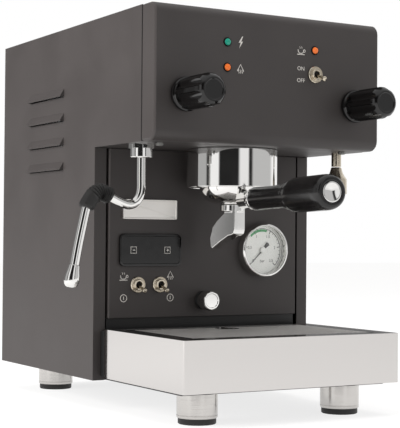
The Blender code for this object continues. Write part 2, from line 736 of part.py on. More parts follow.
def make_tray_cover():
    half = tray_half()
    front = -TRAY_REACH
    cover = shell(
        "tray_cover", (-half, front, TRAY_BOTTOM), (half, TRAY_COVER_BACK_Y, TRAY_TOP), TRAY_SHEET,
        (0, 0, -1),
        ((lambda edge: along(edge, (0, 0, 1)) and edge.verts[0].co.y < 0, 1.5 * MM, 3),),
    )
    window = box(
        "grid_window",
        (-half + TRAY_BORDER, front + TRAY_BORDER, TRAY_TOP - 5 * MM),
        (half - TRAY_BORDER, TRAY_COVER_BACK_Y - TRAY_BORDER, TRAY_TOP + 5 * MM),
    )
    back = box(
        "open_back",
        (-half + TRAY_SHEET, TRAY_COVER_BACK_Y - 2 * TRAY_SHEET, TRAY_BOTTOM - 5 * MM),
        (half - TRAY_SHEET, TRAY_COVER_BACK_Y + 5 * MM, TRAY_TOP - TRAY_SHEET),
    )
    return fit(cut(cover, window, back), "polished_steel")


def make_drip_basin():
    half = tray_half() - TRAY_SHEET - GAP
    front = -TRAY_REACH + TRAY_SHEET + GAP
    back = HEAD_OVERHANG - TRAY_BACK_GAP
    top = TRAY_TOP - TRAY_SHEET - GAP

    def upright(edge):
        return along(edge, (0, 0, 1))

    basin = shell(
        "drip_basin", (-half, front, TRAY_BOTTOM + 0.5 * MM), (half, back, top), BASIN_WALL, (0, 0, 1),
        ((upright, 3 * MM, 2),),
    )
    rear_y = TRAY_COVER_BACK_Y + GAP
    side_ends = [
        box("side_end", (min(x, x_in), rear_y, TRAY_BOTTOM + 1 * MM),
            (max(x, x_in), back - 0.3 * MM, TRAY_TOP - 2 * MM))
        for x, x_in in ((side * tray_half(), side * (half - BASIN_WALL / 2)) for side in (LEFT, RIGHT))
    ]
    post_top = TRAY_TOP - GRID_SKIRT - GAP
    posts = []
    for x in (-half, half):
        for y in (front, TRAY_COVER_BACK_Y - TRAY_BORDER - 8 * MM):
            inner = x - math.copysign(20 * MM, x)
            posts.append(
                box("post", (min(x, inner) + BASIN_WALL / 2, y + BASIN_WALL / 2, TRAY_BOTTOM + 1 * MM),
                    (max(x, inner) - BASIN_WALL / 2, y + 18 * MM, post_top))
            )
    return fit(join(basin, *posts, *side_ends), "black_plastic")


def make_drip_grid():
    half = tray_half() - TRAY_BORDER - GAP
    front = -TRAY_REACH + TRAY_BORDER + GAP
    back = TRAY_COVER_BACK_Y - TRAY_BORDER - GAP
    grid = shell("drip_grid", (-half, front, TRAY_TOP - GRID_SKIRT), (half, back, TRAY_TOP), TRAY_SHEET,
        (0, 0, -1))
    step_x = 2 * (half - 9 * MM) / GRID_COLUMNS
    step_y = (back - front - 18 * MM) / GRID_ROWS
    diamonds = []
    for column in range(GRID_COLUMNS):
        for row in range(GRID_ROWS):
            x = -half + 9 * MM + (column + 0.5) * step_x
            y = front + 9 * MM + (row + 0.5) * step_y
            diamonds.append([(x - GRID_HOLE / 2, y), (x, y - GRID_HOLE / 2), (x + GRID_HOLE / 2, y),
                (x, y + GRID_HOLE / 2)])
    punch = plate("punch", diamonds[0], TRAY_TOP - 5 * MM, TRAY_TOP + 5 * MM, holes=diamonds[1:])
    return fit(cut(grid, punch), "polished_steel")


# Group and portafilter


def make_group():
    bezel_low = UNDERSIDE - BEZEL_DEPTH
    top = UNDERSIDE - GAP
    inner = BEZEL_RADIUS - BEZEL_WALL
    bezel = [
        (inner, top), (BEZEL_RADIUS, top), (BEZEL_RADIUS, bezel_low + 2 * MM),
        (BEZEL_RADIUS - 0.6 * MM, bezel_low + 0.6 * MM), (BEZEL_RADIUS - 1.6 * MM, bezel_low),
        (inner - 0.6 * MM + GAP, bezel_low), (inner, bezel_low + 1.2 * MM),
    ]
    fit(turned("group_bezel", bezel, GROUP_AXIS, closed=True, steps=40), "chrome")

    low = UNDERSIDE - COLLAR_DROP
    neck_top = UNDERSIDE + GROUP_NECK_HEIGHT
    mouth = RIM_RADIUS + RIM_CLEARANCE
    groove = EAR_RADIUS + RIM_CLEARANCE
    body = [
        (0, neck_top), (GROUP_NECK_RADIUS, neck_top), (GROUP_NECK_RADIUS, top), (COLLAR_RADIUS, top),
        (COLLAR_RADIUS, low), (mouth, low), (mouth, low + 2.5 * MM), (groove, low + 2.5 * MM),
        (groove, low + 10.5 * MM), (mouth, low + 10.5 * MM), (mouth, low + 20 * MM), (0, low + 20 * MM),
    ]
    fit(turned("group_body", body, GROUP_AXIS, steps=32), "chrome")

    gasket = [
        (29.5 * MM, low + 19.7 * MM), (mouth - GAP, low + 19.7 * MM), (mouth - GAP, low + 12.5 * MM),
        (29.5 * MM, low + 12.5 * MM),
    ]
    fit(turned("group_gasket", gasket, GROUP_AXIS, closed=True, steps=24), "rubber")
    screen = [
        (0, low + 19.7 * MM), (29.2 * MM, low + 19.7 * MM), (29.2 * MM, low + 15 * MM),
        (26 * MM, low + 13.5 * MM), (0, low + 13.5 * MM),
    ]
    fit(turned("shower_screen", screen, GROUP_AXIS), "brushed_steel")


def handle_direction():
    flat = math.cos(HANDLE_RISE)
    return Vector((-math.sin(HANDLE_TURN) * flat, -math.cos(HANDLE_TURN) * flat, math.sin(HANDLE_RISE)))


def handle_root():
    return Vector((0, GROUP_Y, UNDERSIDE - HANDLE_DROP))


def rim_top():
    return UNDERSIDE - COLLAR_DROP + 12 * MM


def make_portafilter():
    low = UNDERSIDE - COLLAR_DROP
    bottom = UNDERSIDE - BOWL_BOTTOM_DROP
    inside = BASKET_RADIUS + 0.6 * MM
    profile = [
        (inside, rim_top() - 1.2 * MM), (RIM_RADIUS, rim_top() - 1.2 * MM), (RIM_RADIUS, low - 3 * MM),
        (31.5 * MM, low - 5 * MM), (31 * MM, low - 11 * MM), (29 * MM, low - 16 * MM),
        (25 * MM, bottom), (4 * MM, bottom),
        (4 * MM, bottom + 4 * MM), (21 * MM, bottom + 5 * MM), (inside - 2.5 * MM, low - 11 * MM),
        (inside, low - 8 * MM),
    ]
    bowl = turned("portafilter_body", profile, GROUP_AXIS, closed=True, steps=32)
    direction = handle_direction()
    root = handle_root()
    neck = cylinder("neck", HANDLE_NECK_RADIUS, root + direction * 27 * MM,
        root + direction * (HANDLE_START - 12 * MM), 24)
    across = direction.cross(UP).normalized()
    along_handle = Vector((direction.x, direction.y, 0)).normalized()
    ears = []
    for side in (LEFT, RIGHT):
        middle = GROUP_AXIS + across * side * RIM_RADIUS
        ear = turned(
            "ear", [(0, low + 9 * MM), (EAR_RADIUS, low + 9 * MM), (EAR_RADIUS, low + 4 * MM),
                (0, low + 4 * MM)],
            GROUP_AXIS, steps=32,
        )
        reach = EAR_RADIUS - RIM_RADIUS + GAP
        keep = box("keep", (-EAR_WIDTH / 2, -reach, low), (EAR_WIDTH / 2, reach, low + 12 * MM))
        turn = Matrix((along_handle, across * side, UP)).transposed().to_4x4()
        keep.data.transform(Matrix.Translation(middle) @ turn)
        point_out(keep)
        ears.append(combine(ear, [keep], "INTERSECT"))
    fit(join(bowl, neck, *ears), "chrome", GROUP_AXIS)

    top = rim_top()
    wall = 0.8 * MM
    basket = [
        (BASKET_RADIUS - wall, top), (RIM_RADIUS - 0.8 * MM, top), (RIM_RADIUS - 0.8 * MM, top - 0.9 * MM),
        (BASKET_RADIUS, top - 0.9 * MM), (BASKET_RADIUS, low - 7 * MM),
        (BASKET_RADIUS - 3 * MM, low - 11 * MM),
        (0, low - 11 * MM), (0, low - 11 * MM + wall),
        (BASKET_RADIUS - 3 * MM - wall / 2, low - 11 * MM + wall),
        (BASKET_RADIUS - wall, low - 7 * MM),
    ]
    fit(turned("filter_basket", open_at_axis(basket), GROUP_AXIS), "brushed_steel", GROUP_AXIS)


def open_at_axis(loop):
    """A loop with two points on the axis, cut there and run down its outer side."""
    first = [i for i, (r, _) in enumerate(loop) if r == 0][1]
    return loop[first:] + loop[:first]


def make_handle():
    root, direction = handle_root(), handle_direction()
    join_at = HANDLE_START - 12 * MM + GAP
    neck, thin = HANDLE_NECK_RADIUS, HANDLE_THIN_RADIUS
    ferrule = [
        (0, HANDLE_START), (thin, HANDLE_START), (thin, HANDLE_START - 3 * MM),
        (thin - 1 * MM, HANDLE_START - 4.5 * MM),
        (neck + 0.5 * MM, join_at + 1.5 * MM), (neck, join_at), (0, join_at),
    ]
    fit(turned("handle_ferrule", ferrule, root, direction), "chrome", GROUP_AXIS)

    start, swell, end, thick = HANDLE_START + GAP, HANDLE_SWELL, HANDLE_END, HANDLE_THICK_RADIUS
    cap = HANDLE_CAP_RADIUS
    seat = end - 2 * MM
    grip = [
        (0, seat), (cap + GAP, seat), (cap + GAP, end), (thick - 3.5 * MM, end),
        (thick - 1.2 * MM, end - 1.5 * MM),
        (thick - 0.2 * MM, end - 5 * MM), (thick, end - 12 * MM), (thick, swell + 14 * MM),
        (thick - 0.6 * MM, swell + 8 * MM),
        (thick - 2.6 * MM, swell + 2 * MM), (thin + 0.5 * MM, swell - 6 * MM),
        (thin - 0.3 * MM, swell - 20 * MM),
        (thin, start + 8 * MM), (thin, start), (0, start),
    ]
    fit(turned("handle_grip", grip, root, direction), "black_plastic", GROUP_AXIS)
    disc = [
        (0, end + 1.0 * MM), (cap * 0.6, end + 0.8 * MM), (cap - 0.4 * MM, end + 0.2 * MM),
        (cap, end - 0.4 * MM),
        (cap, seat + GAP), (0, seat + GAP),
    ]
    fit(turned("handle_cap", disc, root, direction), "chrome", GROUP_AXIS)


def make_spout():
    """A round collar under the bowl, then an open trough that turns outwards as it goes down."""
    top_z = UNDERSIDE - BOWL_BOTTOM_DROP - GAP
    tip_z = UNDERSIDE - SPOUT_DROP
    height = top_z - tip_z
    half = SPOUT_WIDTH / 2
    neck = SPOUT_COLLAR_HEIGHT
    # Outline from the side as (shares of the half width out, shares of the height up)
    spine = [(-1.05, 1), (-1.05, 0.43), (-0.95, 0.35), (-0.68, 0.31), (-0.2, 0.29), (0.8, 0.155), (1.8, 0)]
    mouth = [(2.0, 0.045), (2.1, 0.24), (1.75, 0.49), (1.0, 0.68), (0.3, 0.81), (0.3, 1)]
    side_view = [(out * half, tip_z + up * height) for out, up in spine + mouth]
    wall = SPOUT_WALL
    hollow = [(-0.8, 0.9), (-0.8, 0.45), (-0.6, 0.37), (-0.1, 0.35), (0.95, 0.22), (1.9, 0.07),
        (3, 0.02), (3, 0.9)]
    channel_view = [(out * half, tip_z + up * height) for out, up in hollow]
    trough = plate("spout", side_view, -half, half, axis="X")
    channel = plate("channel", channel_view, -half + wall, half - wall, axis="X")
    trough = cut(trough, channel)
    ring_profile = [(0, top_z), (SPOUT_COLLAR_RADIUS, top_z), (SPOUT_COLLAR_RADIUS, top_z - neck),
        (0, top_z - neck)]
    collar = turned("collar", ring_profile, (0, 0, 0), steps=32)
    spout = join(trough, collar)
    turn = Matrix.Rotation(SPOUT_TURN, 4, "Z")
    spout.data.transform(Matrix.Translation(GROUP_AXIS) @ turn)
    return fit(spout, "chrome", GROUP_AXIS)


# Steam and hot water


def wand_points():
    return [Vector((-WAND_X - out * MM, WAND_Y, UNDERSIDE - down * MM)) for out, down in WAND_ROUTE]


def ball_centre():
    return Vector((-WAND_X, WAND_Y, UNDERSIDE - BALL_DROP))


def make_steam_nut():
    base = Vector((-WAND_X, WAND_Y, UNDERSIDE))
    low = -NUT_DROP
    tier = [
        (0, 3.2 * MM), (SPINDLE_RADIUS, 3.2 * MM), (SPINDLE_RADIUS, -GAP - 1 * MM),
        (10.6 * MM, -GAP - 1 * MM),
        (10.6 * MM, low + 1 * MM), (9.6 * MM, low), (0, low),
    ]
    nut = turned("steam_nut", tier, base)
    hexagon = cylinder("hexagon", NUT_RADIUS, base + UP * (-8 * MM), base + UP * -GAP, 6)
    chamber = turned(
        "chamber",
        [(0, -1.6 * MM), (8.2 * MM, -1.6 * MM), (8.2 * MM, low + 1.2 * MM),
            (NUT_MOUTH_RADIUS, low + 1.2 * MM),
         (NUT_MOUTH_RADIUS, low - 2 * MM), (0, low - 2 * MM)],
        base,
    )
    return fit(cut(join(nut, hexagon), chamber), "chrome")


def make_steam_wand():
    seat = [(5 * MM, -1.9 * MM), (7.9 * MM, -1.9 * MM), (7.9 * MM, -4.3 * MM), (5 * MM, -4.3 * MM)]
    base = Vector((-WAND_X, WAND_Y, UNDERSIDE))
    fit(turned("ball_seat", seat, base, closed=True), "rubber", ball_centre())

    route = smooth_route(wand_points())
    steam_tube = tube("steam_wand", route, TUBE_RADIUS)
    ball = turned("ball", arc_profile(BALL_RADIUS, 8), ball_centre(), steps=16)
    fit(join(ball, steam_tube), "chrome", ball_centre()).name = "steam_wand"

    first, last = WAND_GRIP_SPAN
    sleeve = tube("wand_grip", route[first * ROUTE_STEPS : last * ROUTE_STEPS + 1], GRIP_RADIUS)
    bore = tube("grip_bore", route[first * ROUTE_STEPS - 1 : last * ROUTE_STEPS + 2], TUBE_RADIUS + 2 * GAP)
    fit(cut(sleeve, bore), "rubber", ball_centre())

    end, before = route[-1], route[-3]
    direction = (end - before).normalized()
    tip = [
        (0, 0), (3.2 * MM, 0), (5 * MM, 1.5 * MM), (TIP_RADIUS, TIP_LENGTH * 0.35),
        (TIP_RADIUS - 0.6 * MM, TIP_LENGTH * 0.6),
        (TUBE_RADIUS + 0.6 * MM, TIP_LENGTH), (0, TIP_LENGTH),
    ]
    upside = [(r, TIP_LENGTH - h) for r, h in reversed(tip)]
    profile = [(r, -h) for r, h in upside]
    fit(turned("wand_tip", down_outer_side(profile), end + direction * GAP, -direction, 16), "chrome",
        ball_centre())


def arc_profile(radius, count=12):
    return [(radius * math.sin(math.pi * i / count),
        radius * math.cos(math.pi * i / count)) for i in range(count + 1)]


def down_outer_side(profile):
    """The same profile, started at its higher end."""
    return profile if profile[0][1] > profile[-1][1] else profile[::-1]


def make_hot_water():
    base = Vector((WAND_X, WAND_Y, UNDERSIDE))
    pipe = cylinder("water_pipe", WATER_TUBE_RADIUS, base + UP * -WATER_TUBE_DROP, base + UP * 6 * MM, 24)
    fit(pipe, "chrome")
    r, bell = WATER_TUBE_RADIUS, WATER_BELL_RADIUS
    top, low = -WATER_TUBE_DROP - GAP, -WATER_BELL_DROP
    profile = [
        (0, top), (r + 0.4 * MM, top), (r + 1.2 * MM, top - 4 * MM), (r + 3 * MM, top - 8 * MM),
        (bell - 0.6 * MM, top - 11.5 * MM),
        (bell, top - 13 * MM), (bell, low), (bell - 1.5 * MM, low), (bell - 1.5 * MM, top - 14 * MM),
        (r - 2 * MM, top - 12 * MM), (0, top - 12 * MM),
    ]
    fit(turned("water_nozzle", profile, base), "chrome")


def make_valve(name, side):
    """A valve block behind the front cover, whose spindle comes out for the knob."""
    end_y = WAND_Y + 8 * MM
    body = cylinder(name, 12 * MM, (side * KNOB_X, 8 * MM, KNOB_Z), (side * KNOB_X, end_y, KNOB_Z), 24)
    spindle = cylinder("spindle", SPINDLE_RADIUS, (side * KNOB_X, -SPINDLE_PROUD, KNOB_Z),
        (side * KNOB_X, 12 * MM, KNOB_Z), 24)
    outlet = box(
        "outlet", (side * WAND_X - 8 * MM, WAND_Y - 8 * MM, UNDERSIDE + 6.5 * MM),
        (side * WAND_X + 8 * MM, WAND_Y + 7.5 * MM, KNOB_Z + 5 * MM),
    )
    return fit(join(body, spindle, outlet), "steel")


def make_knob(name, side):
    """A turned knob whose grip is then given shallow lobes."""
    centre = Vector((side * KNOB_X, 0, KNOB_Z))
    length, radius, bore = KNOB_LENGTH, KNOB_RADIUS, SPINDLE_RADIUS + GAP
    bore_depth = SPINDLE_PROUD - KNOB_STAND_OFF + SLIDE_GAP
    profile = [
        (0, length), (radius * 0.67, length), (radius * 0.95, length - 5.5 * MM), (radius, length - 7 * MM),
        (radius, 10 * MM), (KNOB_SKIRT_RADIUS, 4 * MM), (KNOB_SKIRT_RADIUS, 0), (bore, 0),
        (bore, bore_depth), (0, bore_depth),
    ]
    knob = turned(name, profile, centre + OUT * KNOB_STAND_OFF, OUT, KNOB_LOBES * 4)
    skirt_y = -KNOB_STAND_OFF - 8 * MM
    for vertex in knob.data.vertices:
        x, z = vertex.co.x - centre.x, vertex.co.z - centre.z
        if vertex.co.y < skirt_y and math.hypot(x, z) > radius * 0.9:
            lobe = 1 - 0.08 * (1 - math.cos(KNOB_LOBES * math.atan2(z, x))) / 2
            vertex.co.x, vertex.co.z = centre.x + x * lobe, centre.z + z * lobe
    return fit(knob, "black_gloss", centre)


# Controls


def make_toggle(name, face):
    """A threaded bushing through the panel and its lever, hanging below straight out."""
    nut, collar, bore = TOGGLE_NUT_RADIUS, TOGGLE_COLLAR_RADIUS, TOGGLE_BORE_RADIUS
    profile = [
        (0, -4 * MM), (bore, -4 * MM), (bore, TOGGLE_PROUD), (collar, TOGGLE_PROUD), (collar, 2.6 * MM),
        (nut - 0.6 * MM, 2.6 * MM),
        (nut, 2 * MM), (nut, GAP), (collar, GAP), (collar, -11 * MM), (0, -11 * MM),
    ]
    fit(turned(f"{name}_bushing", profile, face, OUT, 16), "chrome")
    pivot = face + OUT * TOGGLE_PIVOT_PROUD
    direction = Vector((0, -math.cos(TOGGLE_ANGLE), -math.sin(TOGGLE_ANGLE)))
    length = TOGGLE_LEVER_LENGTH
    lever = [
        (0, length), (1.6 * MM, length - 0.3 * MM), (2.6 * MM, length - 1.6 * MM),
        (2.7 * MM, length - 3 * MM),
        (1.8 * MM, 4 * MM), (3 * MM, 2 * MM), (3.3 * MM, 0), (2.6 * MM, -2 * MM), (0, -3.3 * MM),
    ]
    fit(turned(f"{name}_lever", lever, pivot, direction, 12), "chrome", pivot)


def make_lamps():
    r = LAMP_RADIUS
    stem = r * 0.85
    words = ("lamp_power", "lamp_steam", "lamp_brew")
    finishes = ("green_lens", "orange_lens", "orange_lens")
    for (x, drop), name, finish in zip(lamp_places(), words, finishes):
        face = Vector((x, 0, CASE_HEIGHT - drop))
        profile = [(0, 2.6 * MM), (r * 0.5, 2.3 * MM), (r * 0.85, 1.4 * MM), (r, GAP), (stem, GAP),
            (stem, -9 * MM), (0, -9 * MM)]
        fit(turned(name, profile, face, OUT, 12), finish)


def key_places():
    middle = DISPLAY_X + KEY_SHIFT
    return [("key_minus", middle - KEY_SPACING / 2), ("key_plus", middle + KEY_SPACING / 2)]


def make_display():
    front, back = PANEL_Y - GAP - DISPLAY_THICK, PANEL_Y - GAP
    half_w, half_h = DISPLAY_WIDTH / 2, DISPLAY_HEIGHT / 2
    outline = rounded_rectangle(
        DISPLAY_X - half_w, DISPLAY_X + half_w, DISPLAY_Z - half_h, DISPLAY_Z + half_h, DISPLAY_CORNER
    )
    housing = plate("display_housing", outline, front, back, axis="Y")
    inset = 6 * MM + GAP
    rear = box(
        "rear", (DISPLAY_X - half_w + inset, back - 1 * MM, DISPLAY_Z - half_h + inset),
        (DISPLAY_X + half_w - inset, PANEL_Y + 12 * MM, DISPLAY_Z + half_h - inset),
    )
    reach = KEY_SIZE / 2 + KEY_CLEARANCE
    pockets = [
        box("pocket", (x - reach, front - 1 * MM, DISPLAY_Z - reach),
            (x + reach, front + KEY_POCKET, DISPLAY_Z + reach))
        for _, x in key_places()
    ]
    fit(cut(join(housing, rear), *pockets), "black_gloss")
    for name, x in key_places():
        key = box(
            name, (x - KEY_SIZE / 2, front - KEY_PROUD, DISPLAY_Z - KEY_SIZE / 2),
            (x + KEY_SIZE / 2, front - KEY_PROUD + KEY_THICK, DISPLAY_Z + KEY_SIZE / 2), 0.5 * MM, 2,
        )
        fit(key, "black_gloss", (x, front, DISPLAY_Z))


def make_name_plate():
    left = -PANEL_HALF + PLATE_FROM_EDGE
    z = PLATE_Z
    blank = box(
        "name_plate", (left, PANEL_Y - GAP - PLATE_THICK, z - PLATE_HEIGHT / 2),
        (left + PLATE_WIDTH, PANEL_Y - GAP, z + PLATE_HEIGHT / 2), 0.7 * MM, 2,
    )
    return fit(blank, "brushed_steel")


def make_gauge():
    outer, inner = GAUGE_RADIUS, GAUGE_RADIUS - GAUGE_RIM
    dial, proud = GAUGE_DIAL_PROUD, GAUGE_PROUD
    can = inner - GAP
    profile = [
        (0, dial), (inner, dial), (inner, proud - 1 * MM), (inner + 1 * MM, proud),
        (outer - 1.2 * MM, proud - 0.6 * MM),
        (outer, proud - 3 * MM), (outer, GAP), (can, GAP), (can, -GAUGE_CAN_DEPTH), (0, -GAUGE_CAN_DEPTH),
    ]
    fit(turned("gauge_case", profile, GAUGE_CENTRE, OUT, 32), "chrome")
    floor = GAUGE_CENTRE.y - dial
    hub = cylinder("gauge_needle", 3.4 * MM, (GAUGE_CENTRE.x, floor - 3.2 * MM, GAUGE_CENTRE.z),
                   (GAUGE_CENTRE.x, floor - 1 * MM, GAUGE_CENTRE.z), 20)
    pointing = Vector((-math.sin(math.pi / 4), -math.cos(math.pi / 4)))
    across = Vector((-pointing.y, pointing.x))
    middle = Vector((GAUGE_CENTRE.x, GAUGE_CENTRE.z))
    tail, length = 8 * MM, inner * 0.78
    outline = [
        middle - pointing * tail - across * 1.1 * MM, middle - pointing * tail + across * 1.1 * MM,
        middle + pointing * length + across * 0.35 * MM, middle + pointing * length - across * 0.35 * MM,
    ]
    blade = plate("blade", [tuple(p) for p in outline], floor - 2.4 * MM, floor - 1.6 * MM, axis="Y")
    point_out(blade)
    weight_at = middle - pointing * tail
    weight = cylinder("weight", 2.8 * MM, (weight_at.x, floor - 2.4 * MM, weight_at.y),
        (weight_at.x, floor - 1.6 * MM, weight_at.y), 16)
    fit(join(hub, join(blade, weight)), "black_plastic", GAUGE_CENTRE)


def make_regulator_knob():
    face = Vector((REGULATOR_X, PANEL_Y, REGULATOR_Z))
    r, near, far = REGULATOR_RADIUS, REGULATOR_STAND_OFF, REGULATOR_STAND_OFF + REGULATOR_LENGTH
    profile = [
        (0, far), (r - 1 * MM, far), (r, far - 1 * MM), (r, near + 4 * MM), (r - 1 * MM, near + 3 * MM),
        (r - 1.5 * MM, near),
        (REGULATOR_SHAFT, near), (REGULATOR_SHAFT, -14 * MM), (0, -14 * MM),
    ]
    return fit(turned("regulator_knob", profile, face, OUT), "chrome", face)


# Inside


def make_boilers():
    front_y, back_y = GROUP_Y + BREW_BOILER_RADIUS + 6 * MM, TANK_FRONT_Y - TANK_CLEARANCE
    r, half = min(STEAM_BOILER_RADIUS, (back_y - front_y) / 2 - 6 * MM), STEAM_BOILER_LENGTH / 2
    behind_group = (front_y + back_y) / 2
    centre = Vector((0, behind_group, CASE_HEIGHT - TOP_RECESS - SHEET - r - 10 * MM))
    dome = 12 * MM
    profile = [(0, half), (r * 0.6, half - 2 * MM), (r, half - dome), (r, dome - half),
        (r * 0.6, 2 * MM - half), (0, -half)]
    fit(turned("steam_boiler", profile, centre, Vector((1, 0, 0))), "copper")

    low = UNDERSIDE + GROUP_NECK_HEIGHT + 2 * GAP
    r, height = BREW_BOILER_RADIUS, BREW_BOILER_HEIGHT
    profile = [(0, height), (r * 0.7, height - 2 * MM), (r, height - 9 * MM), (r, 0), (0, 0)]
    fit(turned("brew_boiler", profile, (0, GROUP_Y, low)), "brushed_steel")


def make_pump():
    centre = Vector((-HALF * 0.5, CASE_DEPTH - 70 * MM - PUMP_LENGTH / 2,
        FOOT_HEIGHT + 12 * MM + PUMP_RADIUS))
    half, r = PUMP_LENGTH / 2, PUMP_RADIUS
    profile = [(0, half), (r * 0.5, half), (r * 0.5, half - 14 * MM), (r, half - 16 * MM),
        (r, 8 * MM - half), (r * 0.7, -half), (0, -half)]
    body = turned("pump", profile, centre, Vector((0, 1, 0)))
    cradle = box(
        "cradle", (centre.x - r * 0.7, centre.y - half * 0.6, FOOT_HEIGHT + 2 * MM + GAP),
        (centre.x + r * 0.7, centre.y + half * 0.5, centre.z - r * 0.5),
    )
    return fit(join(body, cradle), "steel")


def make_control_box():
    low = (HALF * 0.15, TANK_FRONT_Y, FOOT_HEIGHT + 2 * MM + GAP)
    high = (HALF * 0.82, TANK_BACK_Y - 45 * MM, min(FOOT_HEIGHT + 62 * MM, TANK_BOTTOM - 10 * MM))
    return fit(box("control_box", low, high, 2 * MM, 2), "black_plastic")


def make_power_inlet():
    x, z, width, height = inlet_place()
    half_w, half_h = width / 2 - GAP, height / 2 - GAP
    flange = box("power_inlet", (x - half_w - 5 * MM, CASE_DEPTH + GAP, z - half_h - 3 * MM),
                 (x + half_w + 5 * MM, CASE_DEPTH + 2 * MM, z + half_h + 3 * MM))
    body = box("body", (x - half_w, CASE_DEPTH - 22 * MM, z - half_h),
        (x + half_w, CASE_DEPTH + 1 * MM, z + half_h))
    socket = box("socket", (x - half_w + 2.5 * MM, CASE_DEPTH - 15 * MM, z - half_h + 2.5 * MM),
                 (x + half_w - 2.5 * MM, CASE_DEPTH + 5 * MM, z + half_h - 2.5 * MM))
    return fit(cut(join(flange, body), socket), "black_plastic")


def stand_on_origin():
    """Moves the machine so that the origin is the middle of its footprint on the table."""
    bpy.context.view_layer.update()
    corners = [
        obj.matrix_world @ Vector(c) for obj in pieces.objects if obj.type == "MESH" for c in obj.bound_box
    ]
    low = Vector(min(c[i] for c in corners) for i in range(3))
    high = Vector(max(c[i] for c in corners) for i in range(3))
    machine.location = (-(low.x + high.x) / 2, -(low.y + high.y) / 2, -low.z)
    bpy.context.view_layer.update()


def main():
    global machine, pieces
    for obj in list(bpy.data.objects):
        bpy.data.objects.remove(obj)
    pieces = bpy.data.collections.new("espresso_machine")
    bpy.context.scene.collection.children.link(pieces)
    machine = bpy.data.objects.new("machine_frame", None)
    pieces.objects.link(machine)

    make_chassis_base()
    make_side_panel(LEFT, "side_panel_left")
    make_side_panel(RIGHT, "side_panel_right")
    make_rear_panel()
    make_front_cover()
    make_head_floor()
    make_service_panel()
    make_top_panel()
    make_tank_lid()
    make_water_tank()
    make_feet()
    make_tray_cover()
    make_drip_basin()
    make_drip_grid()
    make_group()
    make_portafilter()
    make_handle()
    make_spout()
    make_steam_nut()
    make_steam_wand()
    make_hot_water()
    make_valve("steam_valve", LEFT)
    make_valve("water_valve", RIGHT)
    make_knob("steam_knob", LEFT)
    make_knob("water_knob", RIGHT)
    make_toggle("power_toggle", Vector((POWER_X, 0, CASE_HEIGHT - CONTROL_ROW_DROPS[1])))
    for (x, z), name in zip(panel_toggle_places(), ("brew_toggle", "steam_toggle")):
        make_toggle(name, Vector((x, PANEL_Y, z)))
    make_lamps()
    make_display()
    make_name_plate()
    make_gauge()
    make_regulator_knob()
    make_boilers()
    make_pump()
    make_control_box()
    make_power_inlet()
    stand_on_origin()


main()
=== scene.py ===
import json
import math

import bmesh
import bpy
from mathutils import Matrix, Vector


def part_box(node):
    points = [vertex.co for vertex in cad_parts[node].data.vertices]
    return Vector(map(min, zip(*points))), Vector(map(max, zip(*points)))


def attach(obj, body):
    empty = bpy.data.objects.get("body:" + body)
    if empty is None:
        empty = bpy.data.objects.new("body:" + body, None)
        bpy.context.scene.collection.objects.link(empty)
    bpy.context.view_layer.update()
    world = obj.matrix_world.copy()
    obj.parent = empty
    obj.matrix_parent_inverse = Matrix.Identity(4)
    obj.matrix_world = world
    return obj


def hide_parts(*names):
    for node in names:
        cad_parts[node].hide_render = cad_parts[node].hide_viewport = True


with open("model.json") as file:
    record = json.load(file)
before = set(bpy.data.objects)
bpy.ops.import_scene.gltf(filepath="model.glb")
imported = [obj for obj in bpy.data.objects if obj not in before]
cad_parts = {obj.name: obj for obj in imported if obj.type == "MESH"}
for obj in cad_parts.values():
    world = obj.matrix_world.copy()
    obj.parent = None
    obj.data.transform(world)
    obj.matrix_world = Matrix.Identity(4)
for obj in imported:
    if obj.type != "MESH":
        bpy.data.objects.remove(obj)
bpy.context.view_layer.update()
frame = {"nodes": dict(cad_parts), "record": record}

MM = 0.001
NODES = frame["nodes"]
UP, OUT = Vector((0, 0, 1)), Vector((0, -1, 0))
LEFT, RIGHT = -1, 1


# Where the machine stands: the middle of the head's front edge, on the table

cover_low, cover_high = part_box("front_cover")
ORIGIN = Vector(((cover_low.x + cover_high.x) / 2, cover_low.y, 0))


def at(x, y, z):
    """A place in millimetres from the middle of the head's front edge on the table."""
    return ORIGIN + Vector((x, y, z)) * MM


def span(node):
    """A node's low and high corner in the same millimetres."""
    low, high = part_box(node)
    return (low - ORIGIN) / MM, (high - ORIGIN) / MM


def middle(node):
    low, high = span(node)
    return (low + high) / 2


def centred(node):
    """A node's low and high corner and the x, y and z half-way between them."""
    low, high = span(node)
    return low, high, [(a + b) / 2 for a, b in zip(low, high)]


# Modelling by hand


def only(obj):
    bpy.ops.object.select_all(action="DESELECT")
    obj.select_set(True)
    bpy.context.view_layer.objects.active = obj


def linked(name, data):
    """A new object in the scene for a mesh, curve, light or camera, which takes its name."""
    data.name = name
    obj = bpy.data.objects.new(name, data)
    bpy.context.scene.collection.objects.link(obj)
    return obj


def as_mesh(obj):
    """A curve or a text turned into a mesh."""
    only(obj)
    bpy.ops.object.convert(target="MESH")
    return bpy.context.object


def named(name):
    """Names what was just added and puts its place in its mesh."""
    obj = bpy.context.object
    obj.name = obj.data.name = name
    bpy.ops.object.transform_apply(location=True, rotation=True, scale=True)
    return obj


def cuboid(name, low, high):
    """A block between two corners in millimetres."""
    bpy.ops.object.select_all(action="DESELECT")
    a, b = at(*low), at(*high)
    bpy.ops.mesh.primitive_cube_add(size=1, location=(a + b) / 2, scale=b - a)
    return named(name)


def rod(name, radius, start, end, sides=32):
    bpy.ops.object.select_all(action="DESELECT")
    a, b = at(*start), at(*end)
    turn = UP.rotation_difference(b - a).to_euler()
    bpy.ops.mesh.primitive_cylinder_add(
        vertices=sides, radius=radius * MM, depth=(b - a).length, location=(a + b) / 2, rotation=turn
    )
    return named(name)


